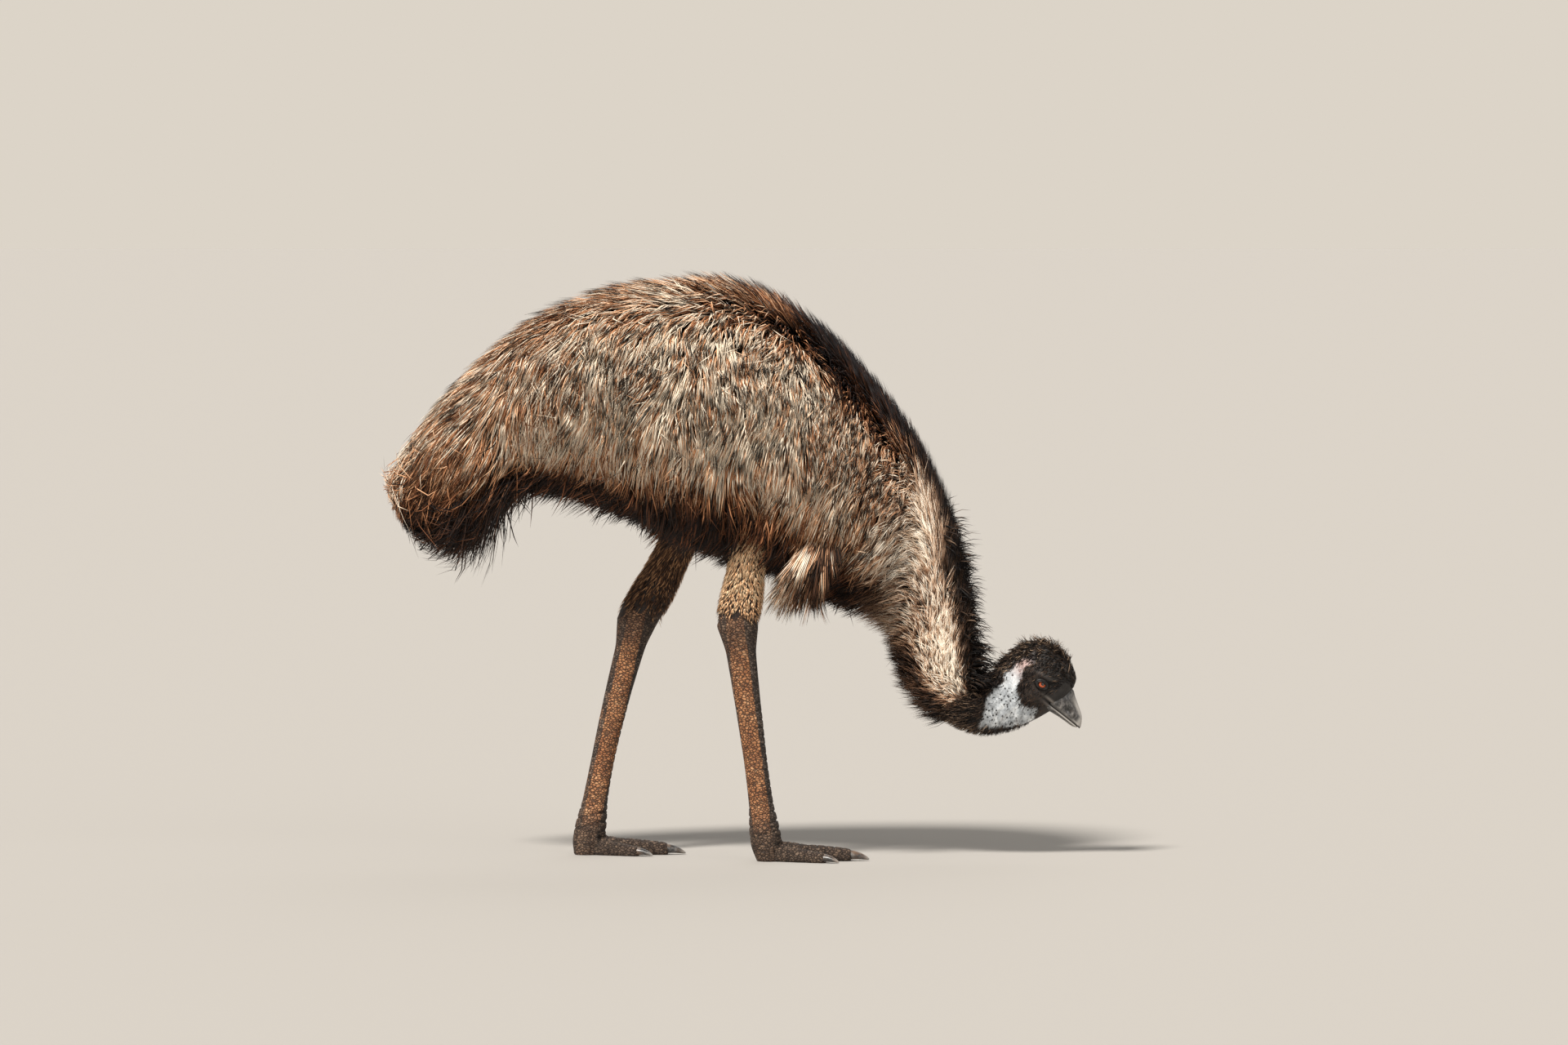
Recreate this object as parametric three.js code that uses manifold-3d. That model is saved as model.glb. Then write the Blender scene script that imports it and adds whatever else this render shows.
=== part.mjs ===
// An adult emu, life size, standing in mid step with its neck lowered to feed.
// Millimetres, +Z up, +X the way it faces, +Y its left side. The floor is z = 0.
import * as THREE from "three";
import { mergeVertices } from "three/addons/utils/BufferGeometryUtils.js";
import Module from "manifold-3d";

const wasm = await Module();
wasm.setup();

// The gap that two touching pieces keep.
const GAP = 0.3;

// The trunk, from the tips of the tail feathers over the back and down the neck to the forehead.
// Each rung of the ladder crosses it: back x and z, belly x and z, half width, and how deep the core lies.
const TRUNK = [
  [-601, 640, -583, 596, 24, 20],
  [-597, 668, -560, 574, 48, 26],
  [-574, 728, -500, 562, 84, 29],
  [-512, 812, -430, 592, 118, 31],
  [-432, 893, -356, 630, 148, 34],
  [-347, 955, -269, 626, 172, 42],
  [-248, 995, -191, 594, 192, 50],
  [-148, 1013, -120, 560, 205, 48],
  [-49, 1010, -49, 530, 210, 47],
  [43, 986, 15, 508, 206, 46],
  [121, 937, 79, 484, 194, 45],
  [200, 865, 136, 452, 172, 43],
  [275, 772, 185, 428, 143, 39],
  [327, 692, 222, 412, 114, 34],
  [366, 600, 246, 392, 90, 28],
  [390, 507, 264, 364, 72, 22],
  [404, 426, 276, 328, 61, 17],
  [411, 362, 293, 292, 53, 13],
  [416, 322, 321, 260, 47, 9],
  [422, 304, 361, 233, 42, 6],
  [432, 312, 404, 214, 39, 5],
  [451, 338, 441, 212, 37, 4],
  [476, 362, 480, 221, 35, 3],
  [502, 376, 516, 238, 34, 2],
  [530, 380, 541, 252, 34, 2],
  [558, 365, 549, 257, 33, 2],
  [577, 343, 553, 262, 29, 2],
  [587, 319, 557, 266, 23, 2],
  [586, 302, 562, 270, 17, 2],
];
// Where along the ladder the last tips and the core end, and one named part meets the next.
const TAIL_END = 0.1;
const TAIL_CORE = 1.1;
const TAIL_ROOT = 4.15;
const NECK_ROOT = 13.4;
const NECK_BEND = 18.9;
const HEAD_ROOT = 22.4;
const FOREHEAD = TRUNK.length - 1;
// The tips stop short of these by a margin, and a lock needs this share of its length before one to root at all.
const PART_ENDS = [TAIL_END, TAIL_ROOT, NECK_ROOT, NECK_BEND, HEAD_ROOT];
const END_MARGIN = 0.05;
const LEAST_LENGTH = 0.5;
// How far a length of core runs past the planes that part it from its neighbours.
const OVERRUN = 0.4;
// The flanks bulge below the middle, most where the body is widest.
const SAG = 0.16;
const SAG_FROM = 60;
const SAG_FULL = 180;
// The core lies this many times deeper under the long feathers of the belly.
const BELLY_DEPTH = 1.75;
// However deep it lies, the core keeps this share of the outline's half sizes.
const CORE_SHARE = 0.2;

// The locks of the coat, by the rung they root at: rung, length, width, thickness, share of free fall.
const COAT = [
  [0.5, 130, 50, 10, 0.3],
  [2, 185, 60, 12, 0.35],
  [4, 210, 74, 14, 0.45],
  [6, 210, 82, 15, 0.7],
  [8, 200, 84, 15, 0.76],
  [10, 178, 78, 14, 0.66],
  [12, 142, 64, 12, 0.5],
  [13.4, 118, 54, 11, 0.42],
  [15, 92, 44, 10, 0.36],
  [17, 66, 34, 8, 0.3],
  [19, 42, 26, 6, 0.3],
];
// Locks root this far under the core's surface, and their tips end this far inside or out of the outline.
const ROOT_DEPTH = 9;
const TIP_SPREAD = 7;
// Locks stand apart by these shares of their own length and width.
const LENGTH_SPACING = 0.46;
const WIDTH_SPACING = 0.8;
const LOCK_COUNTS = { tail: 25, torso: 110, neck: 29 };
// Share of full width and of full thickness at the root, at each bend and at the tip.
const LOCK_PROFILE = [
  [0.8, 0.8],
  [1, 1],
  [0, 0],
];
const BENDS = LOCK_PROFILE.length - 1;
const STRIDES_PER_BEND = 6;
// Locks rise from their roots steeply at first, then follow the outline: the power of the rise.
const LOCK_RISE = 1.9;

// The stiff dark locks down the back of the neck, and the curled ones over the crown.
const NAPE = { from: 14.6, to: 18.4, count: 12, spread: 0.35, length: 62, lift: 16, width: 20, thick: 7 };
const CREST = { from: 20.2, to: 25.2, count: 12, spread: 0.5, length: 34, lift: 9, width: 13, thick: 5 };

const EYE = {
  centre: new THREE.Vector3(527, 23, 304),
  radius: 12.5,
  lid: 2.4,
  openLong: 10.5,
  openHigh: 7.5,
  tilt: 0.5,
};
const EAR = { centre: new THREE.Vector3(507, 35, 340), long: 7, high: 4.5, deep: 5 };
const BROW = { centre: new THREE.Vector3(532, 25, 320), long: 24, deep: 9, high: 5, tilt: 0.55 };

// The bill lies along the line of the mouth, from the tip back to the corner under the eye.
// Each half is a table of distance from the tip, depth and half width.
const BILL = {
  tip: new THREE.Vector2(594, 227),
  corner: new THREE.Vector2(515, 290),
  upper: [
    [0, 2.5, 2.5],
    [5, 8.5, 6.5],
    [13, 13.5, 9],
    [26, 20.5, 12],
    [40, 29, 15.5],
    [54, 37, 19],
    [68, 38, 21],
  ],
  lower: [
    [4, 2.2, 3],
    [9, 5, 6.5],
    [17, 6.5, 8.5],
    [30, 7, 11.5],
    [44, 8, 15],
    [58, 10, 18],
    [70, 12, 20],
  ],
};
const NOSTRIL = { fromTip: 30, above: 11, side: 12, long: 7.5, deep: 4, high: 2.6 };

// Joints of each leg. The right one is ahead and takes the weight, the left one trails.
const LEGS = {
  right: {
    side: -1,
    knee: new THREE.Vector3(44, -96, 705),
    ankle: new THREE.Vector3(-2, -92, 412),
    sole: new THREE.Vector3(52, -75, 0),
    bow: 0,
  },
  left: {
    side: 1,
    knee: new THREE.Vector3(-16, 96, 715),
    ankle: new THREE.Vector3(-176, 92, 412),
    sole: new THREE.Vector3(-268, 75, 0),
    bow: -8,
  },
};
// Share of the way from knee to ankle, half depth fore and aft, half width.
const DRUMSTICK = [
  [0, 50, 34],
  [0.25, 46, 38],
  [0.5, 36, 36],
  [0.65, 34, 32],
  [0.85, 39, 33],
  [0.94, 39, 34],
  [1, 37, 33],
];
// Share of the way from ankle to sole, half depth fore and aft, half width.
const SHANK = [
  [0, 36.5, 33],
  [0.04, 33, 31],
  [0.11, 27, 25],
  [0.2, 25, 21],
  [0.37, 22.5, 19],
  [0.6, 20.5, 18.5],
  [0.78, 22, 21],
  [0.87, 26, 27],
  [0.94, 27, 28],
  [1, 21, 22],
];
// The plates across the front of the shank: where they start and how far every other one stands out.
const PLATES = { from: 0.3, to: 0.9, count: 11, stand: 1.6 };
// Each toe: turn from straight ahead, length to the claw, half width and height at the root.
const TOES = {
  middle: { turn: -0.02, length: 134, halfWidth: 17, height: 33, claw: 31 },
  inner: { turn: -0.42, length: 92, halfWidth: 14, height: 27, claw: 27 },
  outer: { turn: 0.46, length: 100, halfWidth: 14, height: 27, claw: 26 },
};
const TOE_START = 10;
const TOE_NARROWING = 0.22;
const TOE_LOWERING = 0.4;
const TOE_PLATES = 5;
const TOE_PLATE_STAND = 0.07;

// The small wing hangs beside the breast on a short arm: x, y, z, half depth and half thickness.
const WING_ARM = [
  [172, 78, 640, 24, 16],
  [152, 110, 588, 24, 15],
  [134, 138, 548, 23, 12],
  [120, 143, 512, 19, 9],
];
// Its locks fan over the arm's end, from the leading to the trailing edge.
const WING = { count: 5, fan: 0.5, length: 104, width: 34, thick: 9, rootSpread: 15, heading: -0.5 };

const HORN = { color: 0x4a4644, roughness: 0.45, metalness: 0 };
const FEATHER = { color: 0x8d6f52, roughness: 0.9, metalness: 0 };
const SPOTTED_DOWN = { color: 0xb79a78, roughness: 0.9, metalness: 0 };
const BRISTLE = { color: 0x4b3c31, roughness: 0.9, metalness: 0 };
const SCALY_SKIN = { color: 0x8c5f3f, roughness: 0.75, metalness: 0 };
const IRIS = { color: 0xa8431a, roughness: 0.1, metalness: 0 };

const RIGHT_AND_LEFT = [-1, 1];
const DOWN = new THREE.Vector3(0, 0, -1);

// Even random numbers from 0 to 1, the same in every run.
function seeded(seed) {
  let state = seed;
  return () => {
    state = (Math.imul(state, 1664525) + 1013904223) >>> 0;
    return state / 4294967296;
  };
}

// A row of a table read at a fraction, on a smooth curve through its rows.
function readTable(table, at) {
  const low = Math.min(Math.max(Math.floor(at), 0), table.length - 2);
  const f = at - low;
  const row = (i) => table[Math.min(Math.max(i, 0), table.length - 1)];
  const [a, b, c, d] = [row(low - 1), row(low), row(low + 1), row(low + 2)];
  return b.map((value, i) => {
    const square = 2 * a[i] - 5 * value + 4 * c[i] - d[i];
    const cube = 3 * (value - c[i]) + d[i] - a[i];
    return value + 0.5 * f * (c[i] - a[i] + f * (square + f * cube));
  });
}

// Where a table whose first column rises reaches a value, as a fraction of its rows.
function rowAt(table, value) {
  const next = table.findIndex((row) => row[0] >= value);
  if (next === 0) return 0;
  const i = next < 0 ? table.length - 1 : next;
  return Math.min(i - 1 + (value - table[i - 1][0]) / (table[i][0] - table[i - 1][0]), table.length - 1);
}

// A closed solid from a three.js geometry.
function solid(geometry) {
  geometry.deleteAttribute("normal");
  geometry.deleteAttribute("uv");
  const merged = mergeVertices(geometry, 1e-3);
  const triVerts = new Uint32Array(merged.index.array);
  const vertProperties = merged.getAttribute("position").array;
  const make = () => new wasm.Manifold(new wasm.Mesh({ numProp: 3, vertProperties, triVerts }));
  const made = make();
  if (made.volume() > 0) return made;
  for (let i = 0; i < triVerts.length; i += 3) [triVerts[i], triVerts[i + 1]] = [triVerts[i + 1], triVerts[i]];
  return make();
}

// A closed tube or cone: every vertex is put by place(share of the length, angle, 1 at the wall or 0 inside).
function tube(sides, steps, place, pointed = false) {
  const geometry = pointed
    ? new THREE.ConeGeometry(1, 1, sides, steps)
    : new THREE.CylinderGeometry(1, 1, 1, sides, steps);
  const position = geometry.getAttribute("position");
  for (let i = 0; i < position.count; i++) {
    const across = Math.hypot(position.getX(i), position.getZ(i));
    const angle = Math.atan2(position.getX(i), position.getZ(i));
    const along = Math.round((position.getY(i) + 0.5) * steps) / steps;
    const point = place(along, angle, across > 1e-6 ? 1 : 0);
    position.setXYZ(i, point.x, point.y, point.z);
  }
  return solid(geometry);
}

// A ball with three half axes, turned about the Y axis and moved.
function ball(centre, [x, y, z], turn = 0, round = 12, rings = 7) {
  const geometry = new THREE.SphereGeometry(1, round, rings);
  geometry.rotateX(Math.PI / 2);
  geometry.scale(x, y, z);
  geometry.rotateY(turn);
  geometry.translate(centre.x, centre.y, centre.z);
  return solid(geometry);
}

// The largest closed body of a solid.
function largest(made) {
  return made.decompose().reduce((best, body) => (body.volume() > best.volume() ? body : best));
}

const toSide = (side, vector) => new THREE.Vector3(vector.x, side * vector.y, vector.z);

// One rung of the trunk: its middle, the way up along it, and its sizes.
function rungAt(u) {
  const [topX, topZ, bottomX, bottomZ, halfWidth, coreDepth] = readTable(TRUNK, u);
  const up = new THREE.Vector3(topX - bottomX, 0, topZ - bottomZ);
  const halfHeight = up.length() / 2;
  return {
    centre: new THREE.Vector3((topX + bottomX) / 2, 0, (topZ + bottomZ) / 2),
    up: up.normalize(),
    halfHeight,
    halfWidth,
    coreDepth,
    sag: SAG * THREE.MathUtils.smoothstep(halfWidth, SAG_FROM, SAG_FULL),
  };
}

// How deep the core lies at a rung and an angle from the back.
function coreDepthAt(u, angle) {
  return rungAt(u).coreDepth * (1 + (BELLY_DEPTH - 1) * 0.5 * (1 - Math.cos(angle)));
}

// A point of the trunk at a rung and an angle from the back, sunk by a depth below the outline.
function trunkPoint(u, angle, depth = 0, wall = 1) {
  const rung = rungAt(u);
  const halfHeight = Math.max(rung.halfHeight - depth, CORE_SHARE * rung.halfHeight);
  const halfWidth = Math.max(rung.halfWidth - depth, CORE_SHARE * rung.halfWidth);
  const side = wall * halfWidth * Math.sin(angle) * (1 - rung.sag * Math.cos(angle));
  const point = rung.centre.clone().addScaledVector(rung.up, wall * halfHeight * Math.cos(angle));
  return point.add(new THREE.Vector3(0, side, 0));
}

// A length of the trunk's core between two rungs.
function coreLength(from, to, sides, steps) {
  return tube(sides, steps, (along, angle, wall) => {
    const u = from + (to - from) * along;
    return trunkPoint(u, angle, coreDepthAt(u, angle), wall);
  });
}

// The plane of a rung: its normal towards the head, and its distance from the origin.
function borderAt(u) {
  const { centre, up } = rungAt(u);
  const normal = new THREE.Vector3(up.z, 0, -up.x);
  return { normal, distance: normal.dot(centre) };
}

// What lies between two rungs' planes, standing back from each by half a gap.
function between(made, from, to) {
  let kept = made;
  if (from !== null) {
    const { normal, distance } = borderAt(from);
    kept = kept.trimByPlane(normal.toArray(), distance + GAP / 2);
  }
  if (to !== null) {
    const { normal, distance } = borderAt(to);
    kept = kept.trimByPlane(normal.clone().negate().toArray(), GAP / 2 - distance);
  }
  return kept;
}

// The trunk's surface at a rung and angle: the ways along and round it, its outward normal and the coat's lie.
function surfaceAt(u, angle) {
  const step = 0.02;
  const along = trunkPoint(u + step, angle).sub(trunkPoint(u - step, angle)).divideScalar(2 * step);
  const round = trunkPoint(u, angle + step).sub(trunkPoint(u, angle - step)).divideScalar(2 * step);
  const normal = along.clone().cross(round).normalize();
  if (normal.dot(trunkPoint(u, angle).sub(rungAt(u).centre)) < 0) normal.negate();
  const fall = DOWN.clone().addScaledVector(normal, -DOWN.dot(normal)).normalize();
  const [, length, width, thick, freeFall] = readTable(COAT, rowAt(COAT, u));
  const falling = freeFall * (1 - normal.z * normal.z);
  const lie = along.clone().normalize().multiplyScalar(falling - 1).addScaledVector(fall, falling).normalize();
  return { along, round, normal, lie, length, width, thick };
}

// A walk over the trunk along the coat's lie: a rung and an angle for the root, each bend and the tip.
// It ends early where its part of the trunk does.
function walk(root, length, turn) {
  const floor = PART_ENDS.findLast((end) => end <= root.u) + END_MARGIN;
  const track = [root];
  const strides = BENDS * STRIDES_PER_BEND;
  while (track.length <= strides) {
    const { u, angle } = track.at(-1);
    const { along, round, normal, lie } = surfaceAt(u, angle);
    const way = lie.applyAxisAngle(normal, turn * (1 + track.length / strides)).multiplyScalar(length / strides);
    const [aa, ab, bb] = [along.dot(along), along.dot(round), round.dot(round)];
    const [ca, cb] = [way.dot(along), way.dot(round)];
    const size = aa * bb - ab * ab;
    const next = { u: u + (ca * bb - cb * ab) / size, angle: angle + (cb * aa - ca * ab) / size };
    if (next.u < floor) break;
    track.push(next);
  }
  const last = track.length - 1;
  return LOCK_PROFILE.map((_, i) => {
    const at = (last * i) / BENDS;
    const [a, b] = [track[Math.floor(at)], track[Math.ceil(at)]];
    const f = at - Math.floor(at);
    return { u: a.u + f * (b.u - a.u), angle: a.angle + f * (b.angle - a.angle) };
  });
}

// A flat tapered lock through four points, its ridge on the outer side. Grown by a margin, it clears a neighbour.
function lockSolid({ points, outs, width, thick }, grow = 0) {
  const last = points.length - 1;
  const path = points.map((point) => point.clone());
  path[last].addScaledVector(points[last].clone().sub(points[last - 1]).normalize(), 12 * grow);
  path[0].addScaledVector(points[1].clone().sub(points[0]).normalize(), -2 * grow);
  return tube(
    3,
    last,
    (along, angle, wall) => {
      const i = Math.round(along * last);
      const way = path[Math.min(i + 1, last)].clone().sub(path[Math.max(i - 1, 0)]);
      const across = way.clone().cross(outs[i]).normalize();
      const out = across.clone().cross(way).normalize();
      const [wide, high] = LOCK_PROFILE[i];
      const rise = wall ? (Math.cos(angle) + 0.5) / 1.5 : 1 / 3;
      const sideways = (wall * Math.sin(angle)) / Math.sin((2 * Math.PI) / 3);
      return path[i]
        .clone()
        .addScaledVector(across, sideways * ((wide * width) / 2 + 7 * grow))
        .addScaledVector(out, rise * (high * thick + 4 * grow) - 1.5 * grow);
    },
    true,
  );
}

// A lock of the trunk's coat, from its root in the core to its tip at the outline.
function coatLock(root, random, { length, width, thick, lift = 0, turn = 0 }) {
  const stations = walk(root, length, turn);
  const start = coreDepthAt(root.u, root.angle) + ROOT_DEPTH;
  const end = (random() - 0.5) * 2 * TIP_SPREAD - lift;
  const depths = stations.map((station, i) => end + (start - end) * Math.pow(1 - i / BENDS, LOCK_RISE));
  return lockSolid({
    points: stations.map(({ u, angle }, i) => trunkPoint(u, angle, depths[i])),
    outs: stations.map(({ u, angle }) => surfaceAt(u, angle).normal),
    width,
    thick,
  });
}

// Roots spread evenly over a stretch of the trunk, each as far as it can be from the others for its lock's size.
function spreadRoots(from, to, count, random) {
  const tries = 160;
  const roots = [];
  while (roots.length < count) {
    let best = null;
    for (let i = 0; i < tries; i++) {
      const u = from + (to - from) * random();
      const angle = 2 * Math.PI * random();
      const point = trunkPoint(u, angle);
      const { along, normal, lie, length, width } = surfaceAt(u, angle);
      const reach = (LEAST_LENGTH * length * lie.dot(along)) / along.lengthSq();
      if (u + reach < from) continue;
      const across = lie.clone().cross(normal);
      const apart = roots.reduce((least, root) => {
        const offset = point.clone().sub(root.point);
        const alongShare = offset.dot(lie) / (LENGTH_SPACING * length);
        const acrossShare = offset.dot(across) / (WIDTH_SPACING * width);
        const outShare = offset.dot(normal) / width;
        return Math.min(least, Math.hypot(alongShare, acrossShare, outShare));
      }, Infinity);
      if (!best || apart > best.apart) best = { u, angle, point, apart };
    }
    roots.push(best);
  }
  return roots;
}

// The long locks of the tail, body and neck.
function longCoat() {
  const random = seeded(7);
  const stretches = [
    [TAIL_END, TAIL_ROOT, LOCK_COUNTS.tail],
    [TAIL_ROOT, NECK_ROOT, LOCK_COUNTS.torso],
    [NECK_ROOT, NECK_BEND, LOCK_COUNTS.neck],
  ];
  return stretches.flatMap(([from, to, count]) =>
    spreadRoots(from, to, count, random).map((root) => {
      const { length, width, thick } = surfaceAt(root.u, root.angle);
      const vary = 0.85 + 0.3 * random();
      const turn = (random() - 0.5) * 0.16;
      const sizes = { length: length * vary, width: width * (0.9 + 0.2 * random()), thick, turn };
      return { u: root.u, made: coatLock(root, random, sizes) };
    }),
  );
}

// A file of stiff locks along the top of the neck and head, in a loose zigzag.
function ridgeLocks(ridge, seed) {
  const random = seeded(seed);
  return Array.from({ length: ridge.count }, (_, i) => {
    const u = ridge.from + ((ridge.to - ridge.from) * (i + 0.5 * random())) / (ridge.count - 1);
    const angle = ridge.spread * (((i % 3) - 1) * 0.8 + (random() - 0.5) * 0.5);
    const length = ridge.length * (0.85 + 0.3 * random());
    return { u, made: coatLock({ u, angle }, random, { ...ridge, length }) };
  });
}

// A named length of the trunk: its core with the locks that reach it, parted from its neighbours.
function trunkPart(from, to, sides, steps, locks) {
  const start = from === null ? TAIL_CORE : from - OVERRUN;
  const end = to === null ? FOREHEAD : to + OVERRUN;
  const near = locks.filter(({ u }) => u > (from ?? 0) - OVERRUN && u < (to ?? FOREHEAD) + OVERRUN);
  const whole = wasm.Manifold.union([coreLength(start, end, sides, steps), ...near.map(({ made }) => made)]);
  return between(whole, from, to);
}

// A leg length with level elliptical sections, from one joint down to the next.
function limb({ from, to, table, bow = 0, grow = 0, sides, steps, stand = () => 0 }) {
  const axis = to.clone().sub(from);
  const slant = axis.length() / Math.abs(axis.z);
  return tube(sides, steps, (along, angle, wall) => {
    const share = 1 - along;
    const [, halfDepth, halfWidth] = readTable(table, rowAt(table, share));
    const front = Math.max(0, Math.cos(angle));
    const point = from.clone().addScaledVector(axis, share);
    point.x += wall * (halfDepth * slant + stand(share) * front + 1.3 * grow) * Math.cos(angle);
    point.y += wall * (halfWidth + 1.3 * grow) * Math.sin(angle);
    point.x += bow * Math.sin(Math.PI * share);
    point.z += along === 1 ? grow : 0;
    point.z -= along === 0 ? grow : 0;
    return point;
  });
}

// The feathered drumstick, from inside the flank down to the bare ankle.
function drumstickSolid(leg, grow = 0) {
  const to = leg.ankle.clone().add(new THREE.Vector3(0, 0, GAP));
  return limb({ from: leg.knee, to, table: DRUMSTICK, grow, sides: 12, steps: 7 });
}

// The scaly shank, from the ankle to the pad on the floor, with plates across its front.
function shankSolid(leg, grow = 0) {
  const stand = (share) => {
    const plate = ((share - PLATES.from) / (PLATES.to - PLATES.from)) * PLATES.count;
    return plate > 0 && plate < PLATES.count && Math.round(plate) % 2 ? PLATES.stand : 0;
  };
  const to = leg.sole.clone().add(new THREE.Vector3(0, 0, grow));
  return limb({ from: leg.ankle, to, table: SHANK, bow: leg.bow, grow, sides: 10, steps: 20, stand });
}

// The way a toe points, the way across it, and where on the floor it starts.
function toeFrame(leg, toe) {
  const ahead = new THREE.Vector3(Math.cos(toe.turn), leg.side * Math.sin(toe.turn), 0);
  const across = new THREE.Vector3(-ahead.y, ahead.x, 0);
  const start = new THREE.Vector3(leg.sole.x, leg.sole.y, 0).addScaledVector(ahead, TOE_START);
  return { ahead, across, start };
}

// One toe with a flat sole, and a plate raised at every other step along its top.
function toeSolid(leg, toe, grow = 0) {
  const { ahead, across, start } = toeFrame(leg, toe);
  return tube(8, 2 * TOE_PLATES, (along, angle, wall) => {
    const plate = Math.round(along * 2 * TOE_PLATES) % 2 ? 1 + TOE_PLATE_STAND : 1;
    const height = toe.height * (1 - TOE_LOWERING * along) * plate;
    const halfWidth = toe.halfWidth * (1 - TOE_NARROWING * along) * plate + 1.3 * grow;
    const point = start.clone().addScaledVector(ahead, along * toe.length);
    point.addScaledVector(across, wall * halfWidth * Math.sin(angle));
    point.z = Math.max(0, 0.45 * height + wall * (0.62 * height + 1.3 * grow) * Math.cos(angle));
    return point;
  });
}

// A blunt claw that arches down towards the floor.
function clawSolid(leg, toe) {
  const { ahead, across, start } = toeFrame(leg, toe);
  const root = start.addScaledVector(ahead, toe.length + GAP);
  const middle = 0.3 * toe.height;
  return tube(
    6,
    4,
    (along, angle, wall) => {
      const taper = wall * Math.sqrt(1 - along);
      const point = root.clone().addScaledVector(ahead, along * toe.claw);
      point.addScaledVector(across, 0.55 * toe.halfWidth * taper * Math.sin(angle));
      point.z = 0.5 + middle * (1 - 0.75 * along * along) + 0.8 * middle * taper * Math.cos(angle);
      return point;
    },
    true,
  );
}

// The small wing: a short arm out of the flank and a fan of hanging locks.
function wingSolid(side, grow = 0) {
  const random = seeded(31);
  const arm = tube(8, 4, (along, angle, wall) => {
    const [x, y, z, halfDepth, halfThick] = readTable(WING_ARM, (1 - along) * (WING_ARM.length - 1));
    const forward = wall * (halfDepth + 1.5 * grow) * Math.cos(angle);
    const out = wall * (halfThick + 1.5 * grow) * Math.sin(angle);
    const end = (along === 1 ? 1 : 0) - (along === 0 ? 1 : 0);
    return new THREE.Vector3(x + forward, side * (y + out), z + end * grow);
  });
  const [tipX, tipY, tipZ] = WING_ARM[WING_ARM.length - 1];
  const locks = Array.from({ length: WING.count }, (_, i) => {
    const share = i / (WING.count - 1) - 0.5;
    const heading = WING.heading - WING.fan * share;
    const outside = i % 2 ? 6 : -5;
    const length = WING.length * (0.85 + 0.3 * random());
    const points = Array.from({ length: BENDS + 1 }, (_, bend) => {
      const run = (length * bend) / BENDS - 12;
      const x = tipX - 2 * WING.rootSpread * share + run * Math.sin(heading);
      return new THREE.Vector3(x, side * (tipY + outside - 0.03 * run), tipZ + 6 - run * Math.cos(heading));
    });
    const outs = points.map(() => new THREE.Vector3(0, side, 0));
    return lockSolid({ points, outs, width: WING.width, thick: WING.thick }, grow);
  });
  return largest(wasm.Manifold.union([arm, ...locks]));
}

// One half of the bill, above the mouth line or below it.
function billSolid(table, above, grow = 0) {
  const back = BILL.corner.clone().sub(BILL.tip).normalize();
  const up = new THREE.Vector2(-back.y, back.x).multiplyScalar(-above);
  return tube(10, 8, (along, angle, wall) => {
    const [distance, depth, halfWidth] = readTable(table, along * (table.length - 1));
    const high = Math.cos(angle);
    const rise = high > 0 ? (depth + grow) * Math.pow(high, 0.8) : -grow;
    const point = BILL.tip.clone().addScaledVector(back, distance).addScaledVector(up, GAP / 2 + wall * rise);
    return new THREE.Vector3(point.x, wall * (halfWidth + grow) * Math.sin(angle), point.y);
  });
}

// The upper half of the bill with its two nostrils.
function upperBill() {
  const back = BILL.corner.clone().sub(BILL.tip).normalize();
  const up = new THREE.Vector2(back.y, -back.x);
  const at = BILL.tip.clone().addScaledVector(back, NOSTRIL.fromTip).addScaledVector(up, NOSTRIL.above);
  const slope = Math.atan2(back.y, -back.x);
  const nostrils = RIGHT_AND_LEFT.map((side) => {
    const centre = new THREE.Vector3(at.x, side * NOSTRIL.side, at.y);
    return ball(centre, [NOSTRIL.long, NOSTRIL.deep, NOSTRIL.high], slope, 8, 6);
  });
  return largest(billSolid(BILL.upper, 1).subtract(nostrils[0]).subtract(nostrils[1]));
}

function eyeSolid(side, grow = 0) {
  const radius = EYE.radius + grow;
  return ball(toSide(side, EYE.centre), [radius, radius, radius]);
}

// The head with its brows, lids and ears, and the hollows that the eyes and the bill sit in.
function headSolid(locks) {
  let made = trunkPart(HEAD_ROOT, null, 20, 10, locks);
  for (const side of RIGHT_AND_LEFT) {
    const lid = EYE.radius + EYE.lid;
    const slit = toSide(side, EYE.centre).add(new THREE.Vector3(0, side * EYE.radius, 0));
    made = made
      .add(ball(toSide(side, BROW.centre), [BROW.long, BROW.deep, BROW.high], BROW.tilt, 8, 6))
      .add(ball(toSide(side, EYE.centre), [lid + 1.5, lid, lid], EYE.tilt))
      .subtract(ball(slit, [EYE.openLong, 0.8 * EYE.radius, EYE.openHigh], EYE.tilt))
      .subtract(eyeSolid(side, GAP))
      .subtract(ball(toSide(side, EAR.centre), [EAR.long, EAR.deep, EAR.high], EYE.tilt, 8, 5));
  }
  return largest(made.subtract(billSolid(BILL.upper, 1, GAP)).subtract(billSolid(BILL.lower, -1, GAP)));
}

// The torso, with the sockets that the legs and wings come out of.
function torsoSolid(locks) {
  let made = trunkPart(TAIL_ROOT, NECK_ROOT, 24, 16, locks);
  for (const leg of Object.values(LEGS)) {
    made = made.subtract(drumstickSolid(leg, GAP)).subtract(shankSolid(leg, GAP)).subtract(wingSolid(leg.side, GAP));
  }
  return largest(made);
}

// A named mesh in the group, with its own material.
function addPart(name, made, look) {
  const { vertProperties, triVerts } = made.getMesh();
  const geometry = new THREE.BufferGeometry();
  geometry.setAttribute("position", new THREE.BufferAttribute(vertProperties, 3));
  geometry.setIndex(new THREE.BufferAttribute(triVerts, 1));
  geometry.computeVertexNormals();
  const mesh = new THREE.Mesh(geometry, new THREE.MeshStandardMaterial(look));
  mesh.name = name;
  emu.add(mesh);
}

const emu = new THREE.Group();
const locks = [...longCoat(), ...ridgeLocks(NAPE, 11), ...ridgeLocks(CREST, 13)];

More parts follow.
